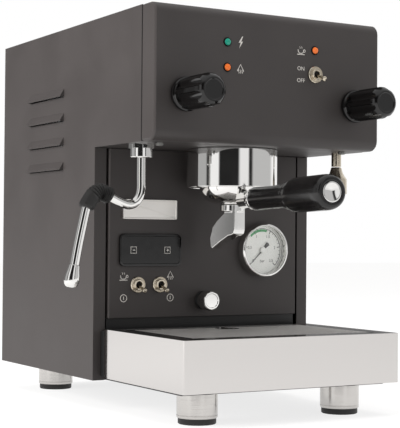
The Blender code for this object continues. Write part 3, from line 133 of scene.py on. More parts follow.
def choose(obj, kind, test):
    """In edit mode, selects the verts, edges or faces that pass a test."""
    bpy.ops.mesh.select_mode(type={"verts": "VERT", "edges": "EDGE", "faces": "FACE"}[kind])
    bpy.ops.mesh.select_all(action="DESELECT")
    bm = bmesh.from_edit_mesh(obj.data)
    for item in getattr(bm, kind):
        item.select_set(bool(test(item)))
    bm.select_flush_mode()
    bmesh.update_edit_mesh(obj.data)


def editing(obj):
    only(obj)
    bpy.ops.object.mode_set(mode="EDIT")


def done():
    bpy.ops.object.mode_set(mode="OBJECT")


def close_up():
    """In edit mode, merges doubled points and turns every face outwards."""
    bpy.ops.mesh.select_all(action="SELECT")
    bpy.ops.mesh.remove_doubles(threshold=1e-6)
    bpy.ops.mesh.normals_make_consistent(inside=False)


def faces_front(face):
    return face.normal.y < -0.9


def runs_back(edge):
    return abs((edge.verts[0].co - edge.verts[1].co).y) > 1 * MM


def sink(rim, depth):
    """Insets the chosen front face by a rim and moves it back by a depth, both in millimetres."""
    bpy.ops.mesh.inset(thickness=rim * MM)
    bpy.ops.transform.translate(value=(0, depth * MM, 0))


def plaque(name, low, high, corner, segments):
    """A block with round corners seen from the front, left in edit mode with its front chosen."""
    block = cuboid(name, low, high)
    editing(block)
    choose(block, "edges", runs_back)
    bpy.ops.mesh.bevel(offset=corner * MM, segments=segments)
    choose(block, "faces", faces_front)
    return block


def turned(name, rings, base, direction=UP, sides=64, closed=False):
    """A circle drawn out ring by ring along an axis, from (radius, height) pairs in millimetres.
    closed joins the last ring to the first, as on a hollow piece; otherwise both ends are capped."""
    bpy.ops.object.select_all(action="DESELECT")
    radius, height = rings[0]
    bpy.ops.mesh.primitive_circle_add(
        vertices=sides, radius=radius * MM, location=(0, 0, height * MM),
        fill_type="NOTHING" if closed else "NGON"
    )
    obj = bpy.context.object
    bpy.ops.object.transform_apply(location=True)
    editing(obj)
    bpy.ops.mesh.select_mode(type="EDGE" if closed else "FACE")
    bpy.ops.mesh.select_all(action="SELECT")
    for wide, high in list(rings[1:]) + ([rings[0]] if closed else []):
        bpy.ops.mesh.extrude_region_move(TRANSFORM_OT_translate={"value": (0, 0, (high - height) * MM)})
        scale = wide / radius
        bpy.ops.transform.resize(value=(scale, scale, 1), center_override=(0, 0, high * MM))
        radius, height = wide, high
    close_up()
    done()
    obj.rotation_mode = "QUATERNION"
    obj.rotation_quaternion = UP.rotation_difference(Vector(direction))
    obj.location = at(*base)
    return named(name)


def apply_modifier(obj, kind, **settings):
    only(obj)
    modifier = obj.modifiers.new(kind.lower(), kind)
    for name, value in settings.items():
        setattr(modifier, name, value)
    bpy.ops.object.modifier_apply(modifier=modifier.name)
    return obj


def soften(obj, width, segments=2, angle=40, clamp=True):
    """Rounds every edge sharper than an angle, width in millimetres, and shades the rest smooth."""
    apply_modifier(
        obj, "BEVEL", width=width * MM, segments=segments, limit_method="ANGLE",
        angle_limit=math.radians(angle), use_clamp_overlap=clamp,
    )
    return smooth(obj, min(angle, 35))


def smooth(obj, angle=35):
    """Smooth up to an angle, with wide faces kept flat beside their rounded edges."""
    only(obj)
    bpy.ops.object.shade_smooth_by_angle(angle=math.radians(angle))
    return apply_modifier(obj, "WEIGHTED_NORMAL", weight=100, keep_sharp=True)


def carve(obj, *tools, operation="DIFFERENCE"):
    for tool in tools:
        apply_modifier(obj, "BOOLEAN", operation=operation, solver="EXACT", object=tool)
        bpy.data.objects.remove(tool)
    return obj


def fuse(obj, *others):
    return carve(obj, *others, operation="UNION")


def gather(name, parts):
    """Several pieces as one object."""
    bpy.ops.object.select_all(action="DESELECT")
    for part in parts:
        part.select_set(True)
    bpy.context.view_layer.objects.active = parts[0]
    bpy.ops.object.join()
    parts[0].name = parts[0].data.name = name
    return parts[0]


def copied(obj, name, shift=(0, 0, 0), turn=None):
    """The same piece again, moved by millimetres, with its own mesh."""
    twin = linked(name, obj.data.copy())
    if turn is not None:
        twin.data.transform(turn)
    twin.data.transform(Matrix.Translation(Vector(shift) * MM))
    return twin


def from_node(node, name, edge=0.5, segments=2, angle=40, clamp=True):
    """A copy of a CAD node with its triangles merged and its edges rounded."""
    obj = linked(name, NODES[node].data.copy())
    editing(obj)
    bpy.ops.mesh.select_all(action="SELECT")
    bpy.ops.mesh.remove_doubles(threshold=2e-6)
    bpy.ops.mesh.dissolve_limited(angle_limit=math.radians(1))
    done()
    return soften(obj, edge, segments, angle, clamp) if edge else smooth(obj)


def swept(name, points, radius, widths=None, sides=5):
    """A rod along points in millimetres, as wide at each as widths says."""
    curve = bpy.data.curves.new(name, "CURVE")
    curve.dimensions = "3D"
    curve.bevel_depth = radius * MM
    curve.bevel_resolution = sides
    curve.use_fill_caps = True
    spline = curve.splines.new("POLY")
    spline.points.add(len(points) - 1)
    for i, point in enumerate(points):
        spline.points[i].co = (*at(*point), 1)
        spline.points[i].radius = widths[i] if widths else 1
    obj = as_mesh(linked(name, curve))
    editing(obj)
    close_up()
    done()
    return smooth(obj, 50)


def fit(obj, body, slot, *stands_for, finish=None):
    """Gives a piece its finish and the body it rides on, and hides the CAD nodes it stands for."""
    obj.data.materials.clear()
    obj.data.materials.append(finish or FINISHES[slot])
    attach(obj, body)
    if stands_for:
        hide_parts(*stands_for)
    return obj


# Finishes


def linear(code):
    """sRGB hex to the linear colour that shaders take."""
    channels = [int(code[i : i + 2], 16) / 255 for i in (0, 2, 4)]
    return (*[c / 12.92 if c <= 0.04045 else ((c + 0.055) / 1.055) ** 2.4 for c in channels], 1)


def add(tree, kind, links=(), **settings):
    """Adds one node. settings set its properties or sockets; links are (socket, from node, output)."""
    made = tree.nodes.new(kind)
    for name, value in settings.items():
        if hasattr(made, name):
            setattr(made, name, value)
        else:
            made.inputs[name.replace("_", " ")].default_value = value
    for socket, source, output in links:
        tree.links.new(source.outputs[output], made.inputs[socket])
    return made


def new_material(name, colour, roughness, metallic=0.0, **more):
    """A Principled material. Returns it, its tree and its shader."""
    material = bpy.data.materials.new(name)
    material.use_nodes = True
    tree = material.node_tree
    shader = tree.nodes["Principled BSDF"]
    shader.inputs["Base Color"].default_value = linear(colour)
    shader.inputs["Roughness"].default_value = roughness
    shader.inputs["Metallic"].default_value = metallic
    for socket, value in more.items():
        shader.inputs[socket.replace("_", " ")].default_value = value
    return material, tree, shader


def wide_noise(tree, size, stretch=(1, 1, 1), detail=2.0):
    """A noise whose grains are size metres across, stretched along an axis."""
    place = add(tree, "ShaderNodeTexCoord")
    mapped = add(tree, "ShaderNodeMapping", [("Vector", place, "Object")], Scale=stretch)
    return add(tree, "ShaderNodeTexNoise", [("Vector", mapped, "Vector")], Scale=1 / size, Detail=detail)


def grain(tree, shader, size, height, stretch=(1, 1, 1), detail=4.0):
    """Bump from such a noise."""
    noise = wide_noise(tree, size, stretch, detail)
    bump = add(tree, "ShaderNodeBump", [("Height", noise, "Fac")], Distance=height, Strength=1.0)
    tree.links.new(bump.outputs["Normal"], shader.inputs["Normal"])
    return noise


def vary(tree, noise, shader, socket, low, high, start=0.3, end=0.7):
    """Spreads a noise over a range of roughness, or between two hex colours."""
    if isinstance(low, str):
        ramp = add(tree, "ShaderNodeValToRGB", [("Fac", noise, "Fac")])
        ramp.color_ramp.elements[0].position, ramp.color_ramp.elements[1].position = start, end
        ramp.color_ramp.elements[0].color, ramp.color_ramp.elements[1].color = linear(low), linear(high)
        tree.links.new(ramp.outputs["Color"], shader.inputs[socket])
    else:
        spread = add(
            tree, "ShaderNodeMapRange", [("Value", noise, "Fac")],
            From_Min=start, From_Max=end, To_Min=low, To_Max=high,
        )
        tree.links.new(spread.outputs["Result"], shader.inputs[socket])


def worn(name, colour, roughness, spread, size, metallic=0.0, height=0.0, **pattern):
    """A material whose gloss wanders over a spread of roughness. The noise behind it, size
    millimetres across, is a bump as well where it is given a height in millimetres."""
    material, tree, shader = new_material(name, colour, roughness, metallic)
    if height:
        noise = grain(tree, shader, size * MM, height * MM, **pattern)
    else:
        noise = wide_noise(tree, size * MM, **pattern)
    vary(tree, noise, shader, "Roughness", *spread)
    return material


def charcoal_powder_coat():
    """Baked polyester powder on steel: fine matt orange peel that breaks up highlights."""
    material, tree, shader = new_material("charcoal_powder_coat", "393534", 0.5, Specular_IOR_Level=0.4)
    grain(tree, shader, 0.7 * MM, 0.04 * MM, detail=3.0)
    broad = wide_noise(tree, 60 * MM)
    vary(tree, broad, shader, "Base Color", "363231", "3b3736")
    vary(tree, broad, shader, "Roughness", 0.45, 0.55)
    return material


def satin_black_paint():
    """Satin black enamel sprayed on the chassis: dark, with a soft sheen and a faint mottle."""
    return worn("satin_black_paint", "0d0c0c", 0.4, (0.34, 0.46), 1.0, height=0.01)


def chrome_plate():
    """Nickel and chrome on brass: a mirror with a trace of handling marks."""
    return worn("chrome_plate", "e2e1df", 0.05, (0.03, 0.09), 18, 1.0)


def satin_nickel():
    """Nickel plate on turned brass, a shade warmer than chrome and a little softened by wear."""
    return worn("satin_nickel", "c9bfae", 0.2, (0.15, 0.28), 3, 1.0)


def polished_stainless():
    """Sheet 304 stainless, polished along its width: clear reflections drawn out a little."""
    return worn("polished_stainless", "cac7c5", 0.1, (0.09, 0.13), 1.2, 1.0,
                stretch=(0.02, 1, 1), detail=6.0)


def pressed_grid_steel():
    """Perforated stainless as it leaves the press: satin, so that it takes light from above."""
    return worn("pressed_grid_steel", "dcd9d6", 0.42, (0.55, 0.7), 3, 1.0)


def cast_nickel():
    """A cast plate under bright nickel, softly blasted: pale, with a broad sheen."""
    return worn("cast_nickel", "f0ede9", 0.42, (0.36, 0.48), 0.8, 1.0, 0.01)


def turned_stainless():
    """Stainless turned on a lathe and polished: upright reflections, blurred a little along its rings."""
    return worn("turned_stainless", "c6c3c0", 0.2, (0.14, 0.26), 0.8, 1.0,
                stretch=(0.03, 0.03, 1), detail=4.0)


def brushed_stainless():
    """Turned or linished stainless with fine scratch lines lying level."""
    return worn("brushed_stainless", "b9b6b2", 0.3, (0.22, 0.4), 0.25, 1.0, 0.002, stretch=(0.05, 0.05, 1))


def gloss_phenolic():
    """Pressed black phenolic resin with a polished face."""
    return worn("gloss_phenolic", "090808", 0.12, (0.08, 0.16), 8)


def satin_phenolic():
    """Pressed black phenolic resin buffed to a soft gloss, slightly waxy."""
    return worn("satin_phenolic", "0c0b0b", 0.2, (0.15, 0.26), 1.2, height=0.004)


def black_polypropylene():
    """Injection-moulded PP with a light spark-eroded grain."""
    return worn("black_polypropylene", "121212", 0.5, (0.44, 0.56), 0.6, height=0.03)


def silicone_rubber():
    """Black silicone: dull, with a faint bloom."""
    material, tree, shader = new_material("silicone_rubber", "131212", 0.55)
    noise = grain(tree, shader, 0.9 * MM, 0.02 * MM)
    vary(tree, noise, shader, "Base Color", "0f0e0e", "191817")
    return material


def lamp_lens(name, colour, glow):
    """Tinted polycarbonate lens of an indicator lamp, bright in the middle."""
    material, tree, shader = new_material(name, colour, 0.18)
    shader.inputs["Emission Color"].default_value = linear(colour)
    shader.inputs["Emission Strength"].default_value = glow
    noise = wide_noise(tree, 2 * MM)
    vary(tree, noise, shader, "Roughness", 0.12, 0.25)
    return material


def gauge_window():
    """Flat mineral glass: nearly clear, with a sharp reflection at its edge."""
    material, tree, shader = new_material("mineral_glass", "ffffff", 0.02, Alpha=0.06)
    noise = wide_noise(tree, 20 * MM)
    vary(tree, noise, shader, "Roughness", 0.01, 0.04)
    return material


def plain(name, colour, roughness, metallic=0.0, size=1 * MM, height=0.01 * MM, **more):
    """A small or hidden piece's finish: its colour with a fine grain and a little wear in its gloss."""
    material, tree, shader = new_material(name, colour, roughness, metallic, **more)
    noise = grain(tree, shader, size, height)
    vary(tree, noise, shader, "Roughness", roughness * 0.9, roughness * 1.1)
    return material


FINISHES = {
    "powder_coat": charcoal_powder_coat(),
    "black_paint": satin_black_paint(),
    "chrome": chrome_plate(),
    "polished_steel": polished_stainless(),
    "brushed_steel": brushed_stainless(),
    "black_gloss": gloss_phenolic(),
    "handle_black": satin_phenolic(),
    "black_plastic": black_polypropylene(),
    "rubber": silicone_rubber(),
    # Tinted polycarbonate, lit from behind
    "green_lens": lamp_lens("green_polycarbonate", "12806a", 0.25),
    "orange_lens": lamp_lens("orange_polycarbonate", "c9601f", 0.35),
    # Lacquered aluminium dial, printed ink, moulded copolyester tank, bare copper, zinc on steel
    "white_dial": plain("white_lacquer", "f0f1ec", 0.4),
    "gauge_glass": gauge_window(),
    "print_grey": plain("pad_printed_ink", "c9c5bf", 0.55),
    "tank_plastic": plain("clear_copolyester", "c4ccd0", 0.2),
    "copper": plain("bare_copper", "b9795a", 0.35, 1.0),
    "inner_steel": plain("zinc_plated_steel", "8f8f8c", 0.4, 1.0),
}
NICKEL = satin_nickel()
GRID_STEEL = pressed_grid_steel()
CAST_NICKEL = cast_nickel()
TURNED_STEEL = turned_stainless()
DIAL_INK = plain("black_dial_ink", "161616", 0.5)
DIAL_GREEN = plain("green_dial_ink", "2f9a57", 0.5)
# Near-black for the plug inside each switch's bore: painted shade for the depth of the hole
BORE_SHADE = plain("painted_bore_shade", "0a0a0a", 0.6)

# Every CAD node takes the finish of its slot in the record
for subpart in frame["record"]["subparts"]:
    node = NODES[subpart["node"]]
    node.data.materials.clear()
    node.data.materials.append(FINISHES[subpart["material_slot"]])


# Casing


def make_casing():
    """Folded sheet: every outer edge is a little round, so that each catches a line of light."""
    for node, edge, angle in (
        ("side_panel_left", 0.3, 24), ("side_panel_right", 0.3, 24), ("front_cover", 1.3, 40),
        ("service_panel", 0.5, 40),
        ("rear_panel", 0.3, 40), ("top_panel", 0.3, 40), ("head_floor", 0.3, 40),
    ):
        sheet = from_node(node, f"casing_{node}", edge, angle=angle, clamp=False)
        fit(sheet, "machine", "powder_coat", node)
    # A dark strip in the seam between the head's cover and each side: painted shade, standing for the shadow
    # down the narrow gap
    low, high = span("front_cover")
    for side, name in ((LEFT, "left"), (RIGHT, "right")):
        x = low.x if side == LEFT else high.x
        foot, head = (x - 0.12, high.y - 0.35, low.z + 1), (x + 0.12, high.y + 0.75, high.z - 1.5)
        strip = cuboid(f"seam_shade_strip_{name}", foot, head)
        editing(strip)
        choose(strip, "edges", lambda e: (e.verts[0].co - e.verts[1].co).length > 50 * MM)
        bpy.ops.mesh.bevel(offset=0.06 * MM, segments=2)
        done()
        fit(strip, "machine", "rubber")
    fit(from_node("chassis_base", "chassis", 0.3), "machine", "black_paint", "chassis_base")


def cap_screw(name, base, direction, radius=3.6, height=2.7):
    """A socket cap screw: round head, softened rim, hexagon socket."""
    rings = [
        (radius, 0), (radius, height - 0.5), (radius - 0.5, height), (radius * 0.5, height),
        (radius * 0.5, height - 1.6),
    ]
    head = turned(name, rings, base, direction, sides=24)
    return soften(head, 0.15, 2, 50)


def make_screws():
    """Two under the head, six on the back, all a hair off their sheet."""
    proud, aside, back = 0.1, 105, 31
    underside = span("head_floor")[0].z
    screw = cap_screw("head_screw_left", (-aside, back, underside - proud), -UP)
    fit(screw, "machine", "inner_steel")
    fit(copied(screw, "head_screw_right", (2 * aside, 0, 0)), "machine", "inner_steel")
    low, high = span("rear_panel")
    inset = 9
    first = cap_screw("back_screw", (low.x + inset, high.y + proud, low.z + inset), -OUT, 3.2, 1.7)
    width, height = high.x - low.x - 2 * inset, high.z - low.z - 2 * inset
    spots = [(across * width, up * height / 2) for across in (0, 1) for up in (0, 1, 2)]
    for number, (across, up) in enumerate(spots):
        fit(copied(first, f"back_screw_{number + 1}", (across, 0, up)), "machine", "inner_steel")
    bpy.data.objects.remove(first)


def make_feet():
    """A turned steel sleeve on a rubber base that stands back under it."""
    low, high, (x, y, _) = centred("foot_front_left")
    radius, top = (high.x - low.x) / 2, high.z
    rings = [
        (radius - 1.2, 5.5), (radius - 0.5, 5.6), (radius, 6.2), (radius, 8.0), (radius - 0.25, 8.2),
        (radius - 0.25, 8.6), (radius, 8.8), (radius, top - 0.8), (radius - 0.8, top),
    ]
    sleeve = smooth(turned("foot_sleeve", rings, (x, y, 0), sides=72), 50)
    rings = [(radius - 2, 0), (radius - 1.3, 0.7), (radius - 1.3, 5.4)]
    pad = smooth(turned("foot_pad", rings, (x, y, 0), sides=72), 50)
    for node in ("foot_front_left", "foot_front_right", "foot_rear_left", "foot_rear_right"):
        place = middle(node)
        shift = (place.x - x, place.y - y, 0)
        where = node.removeprefix("foot_")
        fit(copied(sleeve, f"foot_sleeve_{where}", shift), "machine", "brushed_steel", node,
            finish=TURNED_STEEL)
        fit(copied(pad, f"foot_pad_{where}", shift), "machine", "rubber")
    bpy.data.objects.remove(sleeve)
    bpy.data.objects.remove(pad)


# Drip tray


def make_tray():
    fit(from_node("tray_cover", "tray_cover_sheet", 0.5), "drip_tray", "polished_steel", "tray_cover")
    fit(from_node("drip_basin", "tray_basin", 0.8), "drip_tray", "black_plastic", "drip_basin")


def make_grid():
    """A folded steel frame round a field of diamond holes, with a finger hole near the back."""
    low, high = span("drip_grid")
    # The holes are drawn wide apart, because finer ones would not show
    border, pitch, sheet = 9, 5.4, 1.0
    # A hole's half diagonal as a share of the pitch
    cut = 0.36
    finger_back, finger_radius = 22, 10.5
    field_low = Vector((low.x + border, low.y + border, 0))
    field_high = Vector((high.x - border, high.y - border, 0))
    columns = round((field_high.x - field_low.x) / pitch)
    rows = round((field_high.y - field_low.y) / pitch)
    bpy.ops.object.select_all(action="DESELECT")
    centre = (field_low + field_high) / 2
    bpy.ops.mesh.primitive_grid_add(
        x_subdivisions=columns, y_subdivisions=rows, size=1, location=at(centre.x, centre.y, high.z - 0.02)
    )
    bpy.context.object.scale = ((field_high.x - field_low.x) * MM, (field_high.y - field_low.y) * MM, 1)
    mesh = named("grid_field")
    editing(mesh)
    inner = at(field_low.x + 1, field_low.y + 1, 0), at(field_high.x - 1, field_high.y - 1, 0)
    choose(mesh, "verts", lambda v: inner[0].x < v.co.x < inner[1].x and inner[0].y < v.co.y < inner[1].y)
    bpy.ops.mesh.bevel(offset=pitch * cut * MM, affect="VERTICES", segments=1)
    # More than a hole's area, less than that of the steel left between four
    small = pitch * pitch * 0.36 * MM * MM
    choose(mesh, "faces", lambda f: len(f.verts) == 4 and f.calc_area() < small)
    bpy.ops.mesh.delete(type="FACE")
    hole = at(centre.x, high.y - finger_back, 0)
    choose(mesh, "faces", lambda f: (f.calc_center_median().xy - hole.xy).length < finger_radius * MM)
    bpy.ops.mesh.delete(type="FACE")
    done()
    apply_modifier(mesh, "SOLIDIFY", thickness=sheet * MM, offset=-1)
    fit(mesh, "grid", "polished_steel", "drip_grid", finish=GRID_STEEL)

    # Only the frame's top and underside are this large, in square metres
    broad = 5e-3
    hub = at(centre.x, centre.y, 0)

    def level(face):
        return abs(face.normal.z) > 0.9 and face.calc_area() > broad

    def inner_field(face):
        return level(face) and len(face.verts) > 4 and (face.calc_center_median().xy - hub.xy).length < 2 * MM

    frame_piece = cuboid("grid_frame", low, high)
    editing(frame_piece)
    choose(frame_piece, "edges", lambda e: abs(e.verts[0].co.z - e.verts[1].co.z) > 1 * MM)
    bpy.ops.mesh.bevel(offset=3 * MM, segments=4)
    choose(frame_piece, "faces", lambda f: f.normal.z > 0.9)
    bpy.ops.mesh.bevel(offset=1.2 * MM, segments=3)
    choose(frame_piece, "faces", level)
    bpy.ops.mesh.inset(thickness=(border - 1.0) * MM)
    choose(frame_piece, "faces", inner_field)
    bpy.ops.mesh.bridge_edge_loops()
    done()
    fit(smooth(frame_piece, 30), "grid", "polished_steel")

    rings = [(10.2, -1.2), (12.2, -1.2), (12.2, 0), (10.9, 0), (10.2, -0.6)]
    rim = turned("grid_finger_rim", rings, (centre.x, high.y - finger_back, high.z), sides=48, closed=True)
    fit(smooth(rim), "grid", "polished_steel")


# Group and portafilter


def make_group():
    low, high = span("group_bezel")
    radius, centre = (high.x - low.x) / 2, middle("group_bezel")
    base = (centre.x, centre.y, low.z)
    tall = high.z - low.z
    rings = [
        (radius - 2, tall), (radius - 0.5, tall), (radius, tall - 0.5), (radius, 0.8),
        (radius - 0.3, 0.2), (radius - 0.9, 0), (radius - 1.6, 0.2), (radius - 2, 0.9),
    ]
    bezel = smooth(turned("group_collar_shell", rings, base, sides=144, closed=True), 40)
    fit(bezel, "machine", "chrome", "group_bezel")
    fit(from_node("group_body", "group_head", 0.5), "machine", "chrome", "group_body")
    fit(from_node("group_gasket", "group_seal", 0.4), "machine", "rubber", "group_gasket")


def handle_axis():
    """The handle's root on the group's axis and its direction, from its middle and its cap."""
    cap, ferrule = middle("handle_cap"), middle("handle_ferrule")
    direction = (cap - ferrule).normalized()
    centre = middle("group_bezel")
    along = (ferrule.y - centre.y) / direction.y
    return ferrule - direction * along, direction


def make_portafilter():
    rim = span("portafilter_body")[1].z
    centre = middle("group_bezel")
    base = (centre.x, centre.y, 0)
    lug_low, bowl_low = rim - 13.8, rim - 33.5
    outer = [(34.6, rim), (34.6, lug_low + 1.5), (34.1, lug_low)]
    steps = 12
    for i in range(steps + 1):
        turn = math.pi / 2 * i / steps
        drop = (lug_low - 1.5 - bowl_low) * math.sin(turn)
        outer.append((12.5 + 19.8 * math.cos(turn), lug_low - 1.5 - drop))
    inner = [
        (4, bowl_low), (4, bowl_low + 4), (21, bowl_low + 5), (26, lug_low - 6), (28.6, lug_low - 3),
        (28.6, rim),
    ]
    bowl = turned("portafilter_bowl", outer + inner, base, sides=128, closed=True)
    root, direction = handle_axis()
    neck = turned("neck", [(8.5, 27), (8.5, 44)], root, direction, sides=64)
    parts = [neck]
    flat = Vector((direction.x, direction.y, 0)).normalized()
    across = flat.cross(UP)
    for side in (LEFT, RIGHT):
        # A lug: a short block turned out of the rim, narrowed to a blunt point at its outer end
        lug = cuboid("lug", (-9, -5, lug_low - 4.4), (9, 9.5, lug_low + 2.6))
        turn = Matrix((flat * -side, across * side, UP)).transposed().to_4x4()
        shift = Vector((centre.x, centre.y, 0)) * MM + across * side * 31 * MM
        lug.data.transform(Matrix.Translation(ORIGIN + shift) @ turn @ Matrix.Translation(-ORIGIN))
        editing(lug)
        reach = ORIGIN + Vector((centre.x, centre.y, 0)) * MM
        choose(lug, "faces", lambda f: (f.calc_center_median() - reach).xy.length > 39 * MM)
        tip = reach + across * side * 40 * MM
        tip.z = at(0, 0, lug_low - 2.4).z
        bpy.ops.transform.resize(value=(0.45, 0.45, 0.5), center_override=tip)
        bpy.ops.mesh.select_all(action="SELECT")
        bpy.ops.mesh.normals_make_consistent(inside=False)
        done()
        parts.append(soften(lug, 1.2, 3, 20))
    bowl = fuse(bowl, *parts)
    soften(bowl, 0.5, 2, 50)
    fit(bowl, "portafilter", "chrome", "portafilter_body")
    fit(from_node("filter_basket", "coffee_basket", 0.2), "portafilter", "brushed_steel", "filter_basket")


def make_handle():
    root, direction = handle_axis()
    ferrule = [(8.5, 44.3), (9.2, 46), (10.4, 50.6), (11.0, 51.8), (11.3, 53), (11.3, 55.6), (10.9, 56)]
    fit(smooth(turned("handle_collar", ferrule, root, direction, sides=80), 30), "portafilter",
        "chrome", "handle_ferrule")
    grip = [
        (10.8, 56.3), (11.3, 56.9), (11.3, 64), (11.0, 72), (10.9, 90), (11.0, 108), (11.2, 118),
        (11.8, 121.4), (12.0, 122), (12.9, 122.3), (13.5, 123.2), (13.6, 126), (13.8, 129.2),
        (14.4, 130.2), (15.2, 132.4), (15.8, 137), (16, 145), (16, 182), (15.9, 187), (15.5, 190.6),
        (14.7, 193.2), (13.4, 194.9), (12.2, 195.4), (10.4, 195.4), (9.8, 195.0), (9.7, 193.5),
    ]
    fit(smooth(turned("handle_shell", grip, root, direction, sides=96), 40), "portafilter",
        "handle_black", "handle_grip")
    cap = [
        (9.4, 193.8), (9.4, 194.9), (9.1, 195.5), (8.2, 195.7), (7.4, 195.5), (5, 194.9), (2, 194.6),
        (0.4, 194.5),
    ]
    fit(smooth(turned("handle_button", cap, root, direction, sides=64), 40), "portafilter", "chrome",
        "handle_cap")


def make_spout():
    spout = from_node("spout", "pouring_spout", 0.9, 4, angle=25, clamp=False)
    fit(spout, "portafilter", "chrome", "spout")


# Steam and hot water

# Middle of the steam tube seen from the front: (to the left of the ball, below the underside)
WAND_ROUTE = (
    (0, 8.6), (0, 30), (0, 43), (2, 50.5), (6.5, 56), (12, 58), (18, 57), (25, 54.3), (32, 51),
    (38, 48.2), (43, 46.9), (48, 48.9), (53, 54.6), (56.8, 62), (60, 75), (64.6, 96), (68, 114),
)
ROUTE_STEPS = 6
GRIP_SPAN = (8, 13)


def smooth_route(points, steps):
    """Points along a smooth curve through the given ones."""
    dense = []
    for i in range(len(points) - 1):
        before, a, b, after = (points[min(max(i + k, 0), len(points) - 1)] for k in (-1, 0, 1, 2))
        for k in range(steps):
            t = k / steps
            dense.append(
                0.5 * (2 * a + (b - before) * t + (2 * before - 5 * a + 4 * b - after) * t * t
                       + (3 * a - before - 3 * b + after) * t**3)
            )
    return dense + [points[-1]]


def make_steam_wand():
    nut_low, nut_high, (x, y, _) = centred("steam_nut")
    underside = span("front_cover")[0].z
    route = smooth_route([Vector((x - out, y, underside - down)) for out, down in WAND_ROUTE], ROUTE_STEPS)
    fit(swept("steam_tube", route, 4.4, sides=7), "wand", "chrome", "steam_wand")
    ball = [(0.8, 5.75), (2.9, 5.0), (4.4, 3.75), (5.4, 2.1), (5.8, 0), (5.4, -2.1), (4.6, -3.5)]
    fit(smooth(turned("steam_ball", ball, route[0], sides=48), 60), "wand", "chrome")

    first, last = (n * ROUTE_STEPS for n in GRIP_SPAN)
    sleeve = route[first : last + 1]
    widths = []
    for i in range(len(sleeve)):
        share = i / (len(sleeve) - 1)
        ribbed = share < 0.68
        widths.append((0.88 if i % 2 else 1.0) if ribbed else 0.93)
    widths[0] = widths[-1] = 0.8
    fit(swept("steam_grip", sleeve, 8.2, widths, sides=7), "wand", "rubber", "wand_grip")

    end, before = route[-1], route[-1 - ROUTE_STEPS]
    direction = (end - before).normalized()
    tip = [
        (4.9, 0.3), (5.2, 1.0), (5.6, 4), (6.7, 9), (7.1, 12.5), (7.0, 15.5), (6.2, 18.4), (4.8, 20.2),
        (3.4, 21.0), (1.2, 21.2),
    ]
    fit(smooth(turned("steam_nozzle", tip, end, direction, sides=64), 50), "wand", "chrome", "wand_tip")

    base = (x, y, nut_high.z)
    tall = nut_high.z - nut_low.z
    skirt = [
        (10.6, -4.2), (10.6, 1 - tall), (10.2, 0.3 - tall), (9.6, -tall), (6.2, -tall),
        (5.5, 0.6 - tall), (5.5, 1.4 - tall), (8.2, 1.4 - tall), (8.2, -4.2),
    ]
    ring = smooth(turned("steam_nut_skirt", skirt, base, sides=64, closed=True), 40)
    fit(ring, "machine", "chrome", "steam_nut")
    flats = [(8.4, -0.4), (12.0, -0.4), (12.0, -8), (8.4, -8)]
    hexagon = turned("steam_nut_hexagon", flats, base, sides=6, closed=True)
    bore = turned("steam_nut_bore", [(8.3, 2), (8.3, -12)], base, sides=48)
    hexagon = carve(fuse(hexagon, turned("steam_nut_web", [(9.8, -0.6), (9.8, -7.8)], base, sides=48)), bore)
    fit(soften(hexagon, 0.4, 2, 40), "machine", "chrome")


def make_hot_water():
    low, high, (x, y, _) = centred("water_nozzle")
    pipe_low, pipe_high = span("water_pipe")
    pipe = [(5, pipe_high.z), (5, pipe_low.z + 0.5), (4.8, pipe_low.z)]
    fit(smooth(turned("hot_water_pipe", pipe, (x, y, 0), sides=48)), "machine", "chrome", "water_pipe",
        finish=NICKEL)
    top = high.z
    bell = [
        (2, top - 12), (2, top - 0.4), (4.9, top - 0.4), (5.4, top - 0.9), (5.9, top - 3),
        (6.8, top - 6), (8.4, top - 9), (9.9, top - 11), (10.8, top - 12.6), (11, top - 14),
        (11, low.z + 0.6), (10.6, low.z), (9.9, low.z), (9.5, low.z + 0.5), (9.5, top - 14),
        (4, top - 12.4),
    ]
    fit(smooth(turned("hot_water_bell", bell, (x, y, 0), sides=72, closed=True), 35), "machine",
        "chrome", "water_nozzle",
        finish=NICKEL)


def make_knobs():
    """Pressed resin knobs: eight flutes along the grip, a round skirt behind and a dished face."""
    low, high, (x, _, z) = centred("steam_knob")
    radius, length = 15.4, high.y - low.y
    rings = [
        (14.8, 0), (15.7, 0.3), (16, 1.0), (16, 3.2), (15.6, 4.0), (14.4, 4.6), (13.9, 5.6),
        (14.2, 7.2), (15.1, 9.5), (radius, 12), (radius, length - 8), (14.9, length - 5),
        (13.6, length - 2.4), (12.0, length - 0.6), (11.0, length), (9.6, length), (9.1, length - 0.5),
        (8.6, length - 0.7),
    ]
    knob = turned("steam_knob_grip", rings, (x, high.y, z), OUT, sides=96)
    cutters = []
    flute, depth, lobes = 5.2, 2.5, 8
    for i in range(lobes):
        turn = math.tau * (i + 0.5) / lobes
        out = radius + flute - depth
        px, pz = x + out * math.cos(turn), z + out * math.sin(turn)
        cutters.append(rod(f"flute_{i}", flute, (px, high.y - 8.5, pz), (px, low.y - 5, pz), 40))
    knob = carve(knob, *cutters)
    soften(knob, 0.9, 3, 28)
    shift = (middle("water_knob").x - x, 0, 0)
    twin = copied(knob, "water_knob_grip", shift)
    fit(knob, "steam_knob", "black_gloss", "steam_knob")
    fit(twin, "water_knob", "black_gloss", "water_knob")


# Switches and lamps


